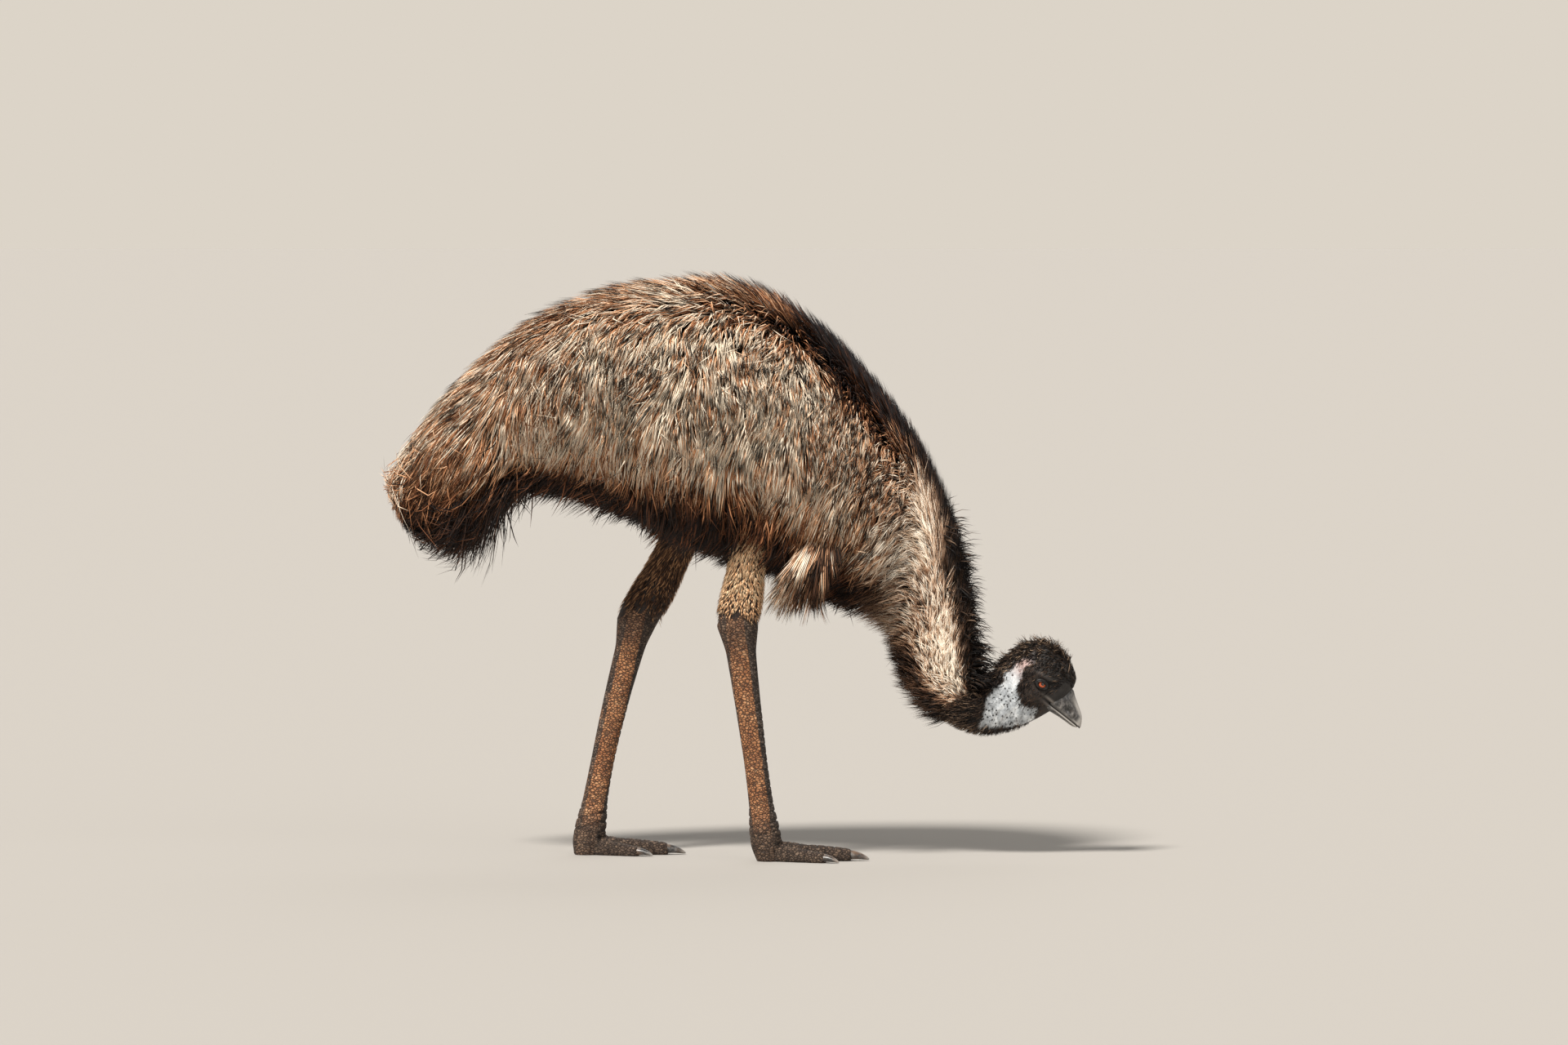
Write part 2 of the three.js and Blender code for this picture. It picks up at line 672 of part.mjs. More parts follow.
addPart("tail", largest(trunkPart(null, TAIL_ROOT, 20, 8, locks)), FEATHER);
addPart("torso", torsoSolid(locks), FEATHER);
addPart("neck_lower", largest(trunkPart(NECK_ROOT, NECK_BEND, 18, 9, locks)), FEATHER);
addPart("neck_upper", largest(trunkPart(NECK_BEND, HEAD_ROOT, 18, 7, locks)), BRISTLE);
addPart("head", headSolid(locks), BRISTLE);
addPart("bill_upper", upperBill(), HORN);
addPart("bill_lower", billSolid(BILL.lower, -1), HORN);
for (const [name, leg] of Object.entries(LEGS)) {
  addPart(`eye_${name}`, eyeSolid(leg.side), IRIS);
  addPart(`wing_${name}`, wingSolid(leg.side), FEATHER);
  addPart(`drumstick_${name}`, drumstickSolid(leg), SPOTTED_DOWN);
  addPart(`shank_${name}`, shankSolid(leg), SCALY_SKIN);
  let neighbours = shankSolid(leg, GAP);
  for (const [toeName, toe] of Object.entries(TOES)) {
    addPart(`toe_${toeName}_${name}`, largest(toeSolid(leg, toe).subtract(neighbours)), SCALY_SKIN);
    addPart(`claw_${toeName}_${name}`, clawSolid(leg, toe), HORN);
    neighbours = neighbours.add(toeSolid(leg, toe, GAP));
  }
}

export default emu;
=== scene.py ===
"""The looks of an adult emu, life size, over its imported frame.

One skin, a coat of fine tufts, eyes, bill and claws. Metres, +Z up, +X the way it faces, +Y its left side.
The floor is z = 0.
"""
import logging
import math
from collections.abc import Callable, Sequence
from dataclasses import dataclass
from enum import Enum

import bmesh
import bpy
import numpy as np
from mathutils import Matrix, Vector


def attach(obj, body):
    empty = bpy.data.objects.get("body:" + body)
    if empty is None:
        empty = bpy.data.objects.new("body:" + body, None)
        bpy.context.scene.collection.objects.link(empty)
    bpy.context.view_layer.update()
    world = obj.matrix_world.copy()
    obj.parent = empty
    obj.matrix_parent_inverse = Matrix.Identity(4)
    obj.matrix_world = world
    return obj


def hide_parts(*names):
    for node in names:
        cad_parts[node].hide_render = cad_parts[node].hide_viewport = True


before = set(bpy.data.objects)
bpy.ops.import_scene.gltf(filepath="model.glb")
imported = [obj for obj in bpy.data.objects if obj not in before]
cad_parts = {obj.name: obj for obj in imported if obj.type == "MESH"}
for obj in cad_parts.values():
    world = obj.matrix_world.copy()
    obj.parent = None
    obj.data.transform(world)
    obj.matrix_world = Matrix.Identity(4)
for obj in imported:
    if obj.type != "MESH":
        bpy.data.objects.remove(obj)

LOG = logging.getLogger("emu")
Array = np.ndarray
BMesh = bmesh.types.BMesh
Material = bpy.types.Material
Mesh = bpy.types.Mesh
Piece = bpy.types.Object
Rows = tuple[tuple[float, ...], ...]
MM = 0.001
# Skin, coat and shader draw alike from this which clumps have black tips.
TIP_DRAW = 7.31


class Side(Enum):
    """The two sides of the animal, by the sign of y."""

    RIGHT = -1
    LEFT = 1

    @property
    def label(self) -> str:
        """The side's name as the nodes have it."""
        return self.name.lower()


def read_table(table: Array, at: Array) -> Array:
    """Reads rows of a table at fractions, on a smooth curve through its rows.

    Args:
        table: The rows.
        at: Where to read, in rows.

    Returns:
        One row for each place.
    """
    at = np.asarray(at, float)
    low = np.clip(np.floor(at).astype(int), 0, len(table) - 2)
    share = (at - low)[..., None]
    last = len(table) - 1
    before, here, there, after = (table[np.clip(low + i, 0, last)] for i in (-1, 0, 1, 2))
    square = 2 * before - 5 * here + 4 * there - after
    cube = 3 * (here - there) + after - before
    return here + 0.5 * share * (there - before + share * (square + share * cube))


def capped(values: Array) -> Array:
    """Values held between 0 and 1."""
    return np.clip(values, 0, 1)


def ease(value: Array, low: float, high: float) -> Array:
    """Rises smoothly from 0 at low to 1 at high, or falls where low is the larger."""
    share = capped((value - low) / (high - low))
    return share * share * (3 - 2 * share)


def unit(vectors: Array) -> Array:
    """The vectors with length 1."""
    return vectors / np.maximum(np.linalg.norm(vectors, axis=-1, keepdims=True), 1e-12)


def dot(a: Array, b: Array) -> Array:
    """The dot products of two rows of vectors."""
    return np.sum(a * b, axis=-1)


def turned(vectors: Array, axes: Array, angles: Array) -> Array:
    """Turns vectors that lie across their axes.

    Args:
        vectors: The vectors.
        axes: A unit axis for each, at right angles to it.
        angles: How far each turns, in radians.

    Returns:
        The turned vectors.
    """
    return vectors * np.cos(angles)[:, None] + np.cross(axes, vectors) * np.sin(angles)[:, None]


def on_side(place: Sequence[float], side: Side) -> Array:
    """A place given in millimetres on the left, in metres on either side."""
    return np.array([place[0], side.value * place[1], place[2]]) * MM


def from_back(angle: Array) -> Array:
    """Angles from the back, alike on both sides, from 0 to pi."""
    return np.abs((angle + math.pi) % (2 * math.pi) - math.pi)


def inside_by(points: Array, corners: Array) -> Array:
    """How far flat points lie inside a closed outline, and less than nothing outside it.

    Args:
        points: The points.
        corners: The outline's corners in order.

    Returns:
        The distance for each point.
    """
    edge = np.roll(corners, -1, axis=0) - corners
    off = points[:, None] - corners[None]
    share = capped(dot(off, edge[None]) / dot(edge, edge)[None])
    near = np.linalg.norm(off - share[..., None] * edge[None], axis=-1).min(axis=1)
    low = off[..., 1] < 0
    straddles = low != (off[..., 1] < edge[None, :, 1])
    slope = edge[:, 0] / np.where(edge[:, 1] == 0, 1, edge[:, 1])
    odd = (straddles & (off[..., 0] < off[..., 1] * slope[None])).sum(axis=1) % 2 == 1
    return np.where(odd, near, -near)


def even_points(count: int, start: int) -> Array:
    """Points spread evenly over a unit cube by a fixed sequence, three numbers from 0 to 1 each."""
    step = np.array([0.8191725134, 0.6710436067, 0.5497004779])
    return (0.5 + (np.arange(count)[:, None] + start) * step) % 1


@dataclass(frozen=True)
class Ripple:
    """A smooth random field in space, about -1 to 1."""

    wavelength: float
    seed: int
    waves: int = 9

    def at(self, points: Array) -> Array:
        """Reads the field.

        Args:
            points: The points.

        Returns:
            The values, one for each.
        """
        random = np.random.default_rng(self.seed)
        ways = unit(random.normal(size=(self.waves, 3)))
        pace = 2 * math.pi / self.wavelength * random.uniform(0.7, 1.4, self.waves)
        phases = points @ (ways * pace[:, None]).T + random.uniform(0, 2 * math.pi, self.waves)
        return np.sin(phases).sum(axis=1) * math.sqrt(2 / self.waves) * 0.6


@dataclass(frozen=True)
class Rung:
    """Rungs of the trunk's ladder: their middles, ways up and sizes."""

    centre: Array
    up: Array
    half_height: Array
    half_width: Array
    core_depth: Array
    sag: Array


@dataclass(frozen=True)
class Surface:
    """Places on the trunk's outline: the ways along and round it, the normal, the coat's lie and length."""

    along: Array
    round: Array
    normal: Array
    lie: Array
    length: Array


@dataclass(frozen=True)
class Trunk:
    """The body from the tips of the tail feathers over the back and down the neck to the forehead."""

    # Each rung crosses the body: back x and z, belly x and z, half width, and how deep the skin lies.
    rows_mm: Rows = (
        (-601, 640, -583, 596, 24, 20), (-597, 668, -560, 574, 48, 26), (-574, 728, -500, 562, 84, 29),
        (-512, 812, -430, 592, 118, 31), (-432, 893, -356, 630, 148, 34), (-347, 955, -269, 626, 172, 42),
        (-248, 995, -191, 594, 192, 50), (-148, 1013, -120, 560, 205, 48), (-49, 1010, -49, 530, 210, 47),
        (43, 986, 15, 508, 206, 46), (121, 937, 79, 484, 194, 45), (200, 865, 136, 452, 172, 43),
        (275, 772, 185, 428, 143, 39), (327, 692, 222, 412, 114, 34), (366, 600, 246, 392, 90, 28),
        (390, 507, 264, 364, 72, 22), (404, 426, 276, 328, 61, 17), (411, 362, 293, 292, 53, 13),
        (416, 322, 321, 260, 47, 9), (422, 304, 361, 233, 42, 6), (432, 312, 404, 214, 39, 5),
        (451, 338, 441, 212, 37, 4), (476, 362, 480, 221, 35, 3), (502, 376, 516, 238, 34, 2),
        (530, 380, 541, 252, 34, 2), (558, 365, 549, 257, 33, 2), (577, 343, 553, 262, 29, 2),
        (587, 319, 557, 266, 23, 2), (586, 302, 562, 270, 17, 2),
    )
    # The coat by the rung it roots at: rung, length, share of free fall.
    coat_mm: Rows = (
        (0.5, 130, 0.3), (2, 185, 0.42), (4, 210, 0.66), (6, 210, 0.86), (8, 200, 0.9), (10, 178, 0.82),
        (12, 142, 0.64), (13.4, 118, 0.5), (15, 92, 0.4), (17, 66, 0.3), (19, 42, 0.3),
    )
    tail_core: float = 1.1
    forehead: float = 28.0
    sag: float = 0.16
    sag_from: float = 0.06
    sag_full: float = 0.18
    belly_depth: float = 1.75
    core_share: float = 0.2
    # The rungs over the right and the left drumstick.
    thighs: tuple[float, float] = (8.9, 7.6)

    def rung(self, u: Array) -> Rung:
        """Reads the ladder.

        Args:
            u: Places along the ladder, in rungs.

        Returns:
            The rungs there.
        """
        row = read_table(np.array(self.rows_mm) * MM, u)
        back_x, back_z, belly_x, belly_z = (row[..., i] for i in range(4))
        across = np.stack([back_x - belly_x, 0 * back_x, back_z - belly_z], axis=-1)
        middle = np.stack([back_x + belly_x, 0 * back_x, back_z + belly_z], axis=-1) / 2
        return Rung(
            centre=middle, up=unit(across), half_height=np.linalg.norm(across, axis=-1) / 2,
            half_width=row[..., 4], core_depth=row[..., 5],
            sag=self.sag * ease(row[..., 4], self.sag_from, self.sag_full),
        )

    def skin_depth(self, u: Array, angle: Array) -> Array:
        """How deep the skin lies at rungs and angles from the back."""
        return self.rung(u).core_depth * (1 + (self.belly_depth - 1) * 0.5 * (1 - np.cos(angle)))

    def trim(self, u: Array, angle: Array) -> Array:
        """Trims the coat's surface below the outline.

        Args:
            u: Places along the ladder, in rungs.
            angle: Angles from the back.

        Returns:
            The depths, less than nothing where the coat stands out.
        """
        side = from_back(angle)
        ridge = ease(u, 7.0, 8.5) * ease(u, 17.5, 15.5) * ease(side, 1.1, 0.35)
        lobe = np.exp(-(((u - 3.4) / 0.6) ** 2)) * ease(side, 1.9, 2.6)
        corner = ease(u, 1.8, 0.3) * ease(side, 1.0, 2.2)
        thigh = np.where(np.sin(angle) < 0, self.thighs[0], self.thighs[1])
        over = np.exp(-(((u - thigh) / 0.5) ** 2) - ((side - 2.3) / 0.3) ** 2)
        return -0.012 * ridge + 0.030 * lobe + 0.015 * corner + 0.026 * over

    def point(self, u: Array, angle: Array, depth: Array | float = 0.0, rung: Rung | None = None) -> Array:
        """Points at rungs and angles from the back, sunk below the outline.

        Args:
            u: Places along the ladder, in rungs.
            angle: Angles from the back.
            depth: How far each point is sunk.
            rung: The rungs, where they are already known.

        Returns:
            The points.
        """
        at = rung or self.rung(u)
        high = np.maximum(at.half_height - depth, self.core_share * at.half_height)
        wide = np.maximum(at.half_width - depth, self.core_share * at.half_width)
        made = at.centre + at.up * (high * np.cos(angle))[..., None]
        made[..., 1] += wide * np.sin(angle) * (1 - at.sag * np.cos(angle))
        return made

    def surface(self, u: Array, angle: Array) -> Surface:
        """Measures the outline and the lie of its coat.

        Args:
            u: Places along the ladder, in rungs.
            angle: Angles from the back.

        Returns:
            What the outline is like there.
        """
        step = 0.02
        along = (self.point(u + step, angle) - self.point(u - step, angle)) / (2 * step)
        rung = self.rung(u)
        before, after = (self.point(u, angle + turn, 0.0, rung) for turn in (-step, step))
        around = (after - before) / (2 * step)
        normal = unit(np.cross(along, around))
        normal *= np.where(dot(normal, self.point(u, angle, 0.0, rung) - rung.centre) < 0, -1, 1)[:, None]
        down = np.array([0.0, 0.0, -1.0])
        fall = unit(down - normal * (normal @ down)[:, None])
        coat = np.array(self.coat_mm)
        agree = -dot(fall, unit(along))
        free = np.interp(u, coat[:, 0], coat[:, 2]) * (1 - normal[:, 2] ** 4)
        free = free * (0.2 + 0.8 * ease(agree, -1, -0.8))
        lie = unit(unit(along) * (free - 1)[:, None] + fall * free[:, None])
        return Surface(along, around, normal, lie, np.interp(u, coat[:, 0], coat[:, 1]) * MM)

    def unwrap(self, u: Array, angle: Array) -> Array:
        """Unwraps the trunk's skin.

        Args:
            u: Places along the ladder, in rungs.
            angle: Angles from the back.

        Returns:
            The angle across and the way along the body up, both from 0 to 1.
        """
        ladder = np.linspace(0, self.forehead, 400)
        middles = self.rung(ladder).centre
        run = np.concatenate([[0], np.cumsum(np.linalg.norm(np.diff(middles, axis=0), axis=1))])
        return np.stack([(angle / (2 * math.pi)) % 1, np.interp(u, ladder, run / run[-1])], axis=-1)


@dataclass(frozen=True)
class Markings:
    """Where the plumage is pale, dark, grey or bare, by the place on the trunk, for skin and coat alike; the
    belly's dark is painted shade.
    """

    patches: Ripple = Ripple(0.16, 5)
    flecks: Ripple = Ripple(0.05, 8)
    locks: Ripple = Ripple(0.036, 9)
    # The outline of the bare patch in x and z, and the middle of its pinkish part.
    bare_mm: Rows = (
        (435, 294), (459, 310), (467, 327), (492, 348), (512, 353), (515, 343), (495, 328), (486, 294),
        (492, 272), (519, 262), (516, 240), (478, 227), (440, 226), (416, 223), (424, 251),
    )
    pink_mm: tuple[float, float] = (497, 340)

    def bare(self, points: Array) -> Array:
        """The bluish bare skin on the sides of the upper neck, from 0 to 1."""
        ragged = 1.8 * Ripple(0.022, 31).at(points) + 1.3 * Ripple(0.009, 32).at(points)
        return ease(inside_by(points[:, [0, 2]] / MM, np.array(self.bare_mm)) + ragged, -2.0, 4.0)

    def pink(self, points: Array) -> Array:
        """The pinkish skin behind the ear."""
        off = points[:, [0, 2]] / MM - np.array(self.pink_mm)
        return np.exp(-dot(off, off) / 22**2)

    def read(self, u: Array, angle: Array, points: Array) -> dict[str, Array]:
        """The marks at places on the trunk.

        Args:
            u: Places along the ladder, in rungs.
            angle: Angles from the back.
            points: The same places in space.

        Returns:
            The marks by name, each from 0 to 1: pale, dark, grey and tips.
        """
        side = from_back(angle)
        patch = self.patches.at(points)
        fleck = self.flecks.at(points)
        flank = ease(u, 4, 6.5) * ease(u, 12.5, 9.5) * ease(side, 2.15, 1.5) * ease(side, 0.1, 0.6)
        rump = ease(u, 5.6, 4.2) * ease(side, 2.0, 1.2)
        neck_base = ease(u, 11.9, 12.8) * ease(u, 15.2, 13.9) * np.exp(-(((side - 1.2) / 0.62) ** 2))
        neck_base = neck_base * np.clip(0.7 + 0.65 * self.locks.at(points), 0, 1.3)
        below = np.clip(u - 16, 0, 3)
        neck_side = (0.3 * ease(u, 14.0, 15.0) + 0.7 * ease(u, 15.4, 16.8)) * ease(u, 18.8, 18.1)
        neck_side = neck_side * np.exp(-(((side - 1.45 + 0.1 * below) / (0.55 - 0.06 * below)) ** 2))
        pale = flank + 0.42 * rump + 0.62 * neck_base + 0.88 * neck_side + 0.2 * patch
        ridge = ease(u, 9.0, 11.3) * ease(side, 0.68, 0.3) * ease(u, 19.5, 18)
        nape = ease(u, 14.0, 15.2) * ease(side, 1.1, 0.75)
        pale = pale * (1 - ridge)
        throat = ease(u, 14.6, 16.2) * ease(side, 2.1 - 0.17 * below, 2.5 - 0.17 * below)
        # Painted shade: the underside of the body is darker, with more black tips.
        belly = ease(side, 1.6, 2.2) * ease(u, 15, 13)
        tail_end = ease(u, 2.6, 0.6) * ease(side, 1.0, 2.2)
        tail = ease(u, 4.6, 2.8) * ease(side, 0.4, 1.2)
        dark = ridge + 1.1 * nape + 0.9 * throat + 0.9 * belly + 0.58 * tail + 0.12 * tail_end
        dark = dark + 0.5 * np.maximum(fleck - 0.3, 0) * flank + 0.9 * ease(u, 18.4, 19.2)
        dark = dark + 0.14 * ease(side, 0.7, 0.2) * ease(u, 4, 6)
        grey = 0.6 * neck_base + 0.42 * neck_side + 0.55 * ease(u, 12.4, 13.8)
        dashes = ease(u, 4.5, 6.5) * ease(u, 13, 12) * ease(side, 1.7, 1.2)
        tips = 0.22 + 0.7 * ridge + 0.5 * tail_end + 0.2 * belly - 0.3 * neck_side + 0.25 * dashes
        marks = {"pale": pale, "dark": dark, "grey": grey, "tips": tips}
        return {name: capped(mark) for name, mark in marks.items()}


@dataclass
class Tufts:
    """Many tapered tufts: their stations in space, the ways out, half widths, and what each one carries."""

    paths: Array
    outs: Array
    half_widths: Array
    thickness: float
    places: Array
    strand: Array
    clump: Array
    marks: dict[str, Array]

    def positions(self) -> Array:
        """Puts the tufts' corners.

        Returns:
            The corners of each tuft, three at each station and one at the tip.
        """
        count, stations, _ = self.paths.shape
        way = np.empty_like(self.paths)
        way[:, 1:-1] = self.paths[:, 2:] - self.paths[:, :-2]
        way[:, 0] = self.paths[:, 1] - self.paths[:, 0]
        way[:, -1] = self.paths[:, -1] - self.paths[:, -2]
        right = unit(np.cross(unit(way), self.outs))
        up = unit(np.cross(right, unit(way)))
        wide = self.half_widths[:, :-1, None]
        body = self.paths[:, :-1]
        right = right[:, :-1] * wide
        rings = np.stack([body + right, body + up[:, :-1] * wide * self.thickness, body - right], axis=2)
        rings = rings.reshape(count, 3 * (stations - 1), 3)
        return np.concatenate([rings, self.paths[:, -1:]], axis=1)

    def faces(self) -> Array:
        """Joins the corners of one tuft.

        Returns:
            The corners' numbers, three to a triangle.
        """
        stations = self.paths.shape[1]
        made = [(0, 1, 2)]
        for ring in range(stations - 2):
            for i in range(3):
                here, beside = 3 * ring + i, 3 * ring + (i + 1) % 3
                made += [(here, here + 3, beside + 3), (here, beside + 3, beside)]
        tip = 3 * (stations - 1)
        made += [(tip - 3 + i, tip, tip - 3 + (i + 1) % 3) for i in range(3)]
        return np.array(made)

    def build(self, name: str, material: Material, slot: str) -> None:
        """Joins the tufts as one mesh.

        Args:
            name: The piece's name.
            material: Its finish.
            slot: Not used.
        """
        corners = self.positions()
        count, each, _ = corners.shape
        faces = (self.faces()[None] + (np.arange(count) * each)[:, None, None]).reshape(-1, 3)
        mesh = bpy.data.meshes.new(name)
        mesh.vertices.add(count * each)
        mesh.vertices.foreach_set("co", corners.astype(np.float32).ravel())
        mesh.loops.add(faces.size)
        mesh.loops.foreach_set("vertex_index", faces.astype(np.int32).ravel())
        mesh.polygons.add(len(faces))
        mesh.polygons.foreach_set("loop_start", np.arange(0, faces.size, 3, dtype=np.int32))
        mesh.update(calc_edges=True)
        mesh.polygons.foreach_set("use_smooth", np.ones(len(faces), bool))
        along = np.append(np.repeat(np.linspace(0, 1, self.paths.shape[1])[:-1], 3), 1.0)
        growth = np.empty((count, each, 3))
        growth[..., 0] = along
        growth[..., 1] = self.strand[:, None]
        growth[..., 2] = self.clump[:, None]
        put_vectors(mesh, "growth", growth.reshape(-1, 3))
        put_marks(mesh, {name: np.repeat(mark, each) for name, mark in self.marks.items()})
        self.map_patches(mesh, faces, each)
        piece = added(name, mesh)
        mesh.materials.append(material)
        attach(piece, "root")
        report(piece)

    def map_patches(self, mesh: Mesh, faces: Array, each: int) -> None:
        """Maps each tuft to a small patch at its root's place on the skin's unwrap.

        Args:
            mesh: The tufts' mesh.
            faces: Its triangles.
            each: How many corners a tuft has.
        """
        size = 0.003
        patch = np.zeros((each, 2))
        patch[:, 0] = np.append(np.tile([0.0, 0.5, 1.0], each // 3), 0.5)
        patch[:, 1] = np.append(np.repeat(np.linspace(0, 1, self.paths.shape[1])[:-1], 3), 1.0)
        spots = 0.001 + 0.995 * self.places[:, None] * (1 - size) + size * patch[None]
        layer = mesh.uv_layers.new(name="OFBake")
        layer.uv.foreach_set("vector", spots.reshape(-1, 2)[faces.ravel()].astype(np.float32).ravel())


def added(name: str, data: bpy.types.ID) -> Piece:
    """Adds an object to the scene.

    Args:
        name: Its name.
        data: Its mesh, lens or lamp.

    Returns:
        The object.
    """
    piece = bpy.data.objects.new(name, data)
    bpy.context.scene.collection.objects.link(piece)
    return piece


def put_vectors(mesh: Mesh, name: str, values: Array) -> None:
    """Keeps three numbers for each vertex under a name."""
    layer = mesh.attributes.get(name) or mesh.attributes.new(name, "FLOAT_VECTOR", "POINT")
    layer.data.foreach_set("vector", np.asarray(values, np.float32).ravel())


def put_marks(mesh: Mesh, marks: dict[str, Array]) -> None:
    """Keeps the plumage's marks for each vertex.

    Args:
        mesh: The mesh.
        marks: The marks by name.
    """
    put_vectors(mesh, "marks", np.stack([marks[name] for name in ("pale", "dark", "tips")], axis=-1))
    layer = mesh.attributes.new("grey", "FLOAT", "POINT")
    layer.data.foreach_set("value", np.asarray(marks["grey"], np.float32).ravel())


def vectors_of(values: bpy.types.bpy_prop_collection, key: str) -> Array:
    """Reads a vector from each part of a mesh.

    Args:
        values: The parts, such as its vertices.
        key: What is read.

    Returns:
        One vector for each.
    """
    flat = np.empty(len(values) * 3, np.float32)
    values.foreach_get(key, flat)
    return flat.reshape(-1, 3)


def places_of(mesh: Mesh) -> Array:
    """The places of a mesh's vertices."""
    return vectors_of(mesh.vertices, "co").astype(float)


def normals_of(mesh: Mesh) -> Array:
    """The normals at a mesh's vertices."""
    return vectors_of(mesh.vertex_normals, "vector").astype(float)


def move_to(mesh: Mesh, points: Array) -> None:
    """Moves a mesh's vertices."""
    mesh.vertices.foreach_set("co", points.astype(np.float32).ravel())
    mesh.update()


def loft(rows: int, columns: int, place: Callable[[Array, Array], Array]) -> BMesh:
    """Makes a closed tube from a grid, whose ends close where a row meets in one point.

    Args:
        rows: How many steps it has along.
        columns: How many round.
        place: Puts points by their row numbers and angles.

    Returns:
        The closed mesh.
    """
    made = bmesh.new()
    bmesh.ops.create_grid(made, x_segments=columns, y_segments=rows, size=0.5)
    flat = np.array([vert.co for vert in made.verts])
    points = place(np.round((flat[:, 1] + 0.5) * rows).astype(int), (flat[:, 0] + 0.5) * 2 * math.pi)
    for vert, point in zip(made.verts, points):
        vert.co = point
    bmesh.ops.remove_doubles(made, verts=made.verts, dist=2e-6)
    bmesh.ops.recalc_face_normals(made, faces=made.faces)
    return made


def along_rows(row: Array, rows: int) -> tuple[Array, Array]:
    """The way along a closed form at its rows, and which of them are the points at its ends."""
    return np.clip(row - 1, 0, rows - 2) / (rows - 2), (row == 0) | (row == rows)


def piece_of(made: BMesh, name: str) -> Piece:
    """Turns a bmesh into an object with smooth faces.

    Args:
        made: The mesh, which is freed.
        name: The object's name.

    Returns:
        The object.
    """
    mesh = bpy.data.meshes.new(name)
    made.to_mesh(mesh)
    made.free()
    mesh.polygons.foreach_set("use_smooth", np.ones(len(mesh.polygons), bool))
    return added(name, mesh)


def report(piece: Piece) -> None:
    """Reports a finished piece."""
    mesh = piece.data
    LOG.info("%s: %d triangles", piece.name, len(mesh.loops) - 2 * len(mesh.polygons))


def applied(piece: Piece) -> None:
    """Applies a piece's modifiers to its mesh.

    Args:
        piece: The piece, which keeps none of them.
    """
    bpy.context.view_layer.update()
    graph = bpy.context.evaluated_depsgraph_get()
    mesh = bpy.data.meshes.new_from_object(piece.evaluated_get(graph))
    piece.modifiers.clear()
    old = piece.data
    piece.data = mesh
    bpy.data.meshes.remove(old)


def tone(red: int, green: int, blue: int) -> tuple[float, float, float, float]:
    """Turns a colour as a screen shows it into a shader's.

    Args:
        red: Its red, from 0 to 255.
        green: Its green.
        blue: Its blue.

    Returns:
        The shader's colour, opaque.
    """
    channels = [value / 255 for value in (red, green, blue)]
    linear = [c / 12.92 if c <= 0.04045 else ((c + 0.055) / 1.055) ** 2.4 for c in channels]
    return (linear[0], linear[1], linear[2], 1.0)


Socket = bpy.types.NodeSocket
Feed = Socket | float | Sequence[float]
Feeds = dict[str | int, Feed]


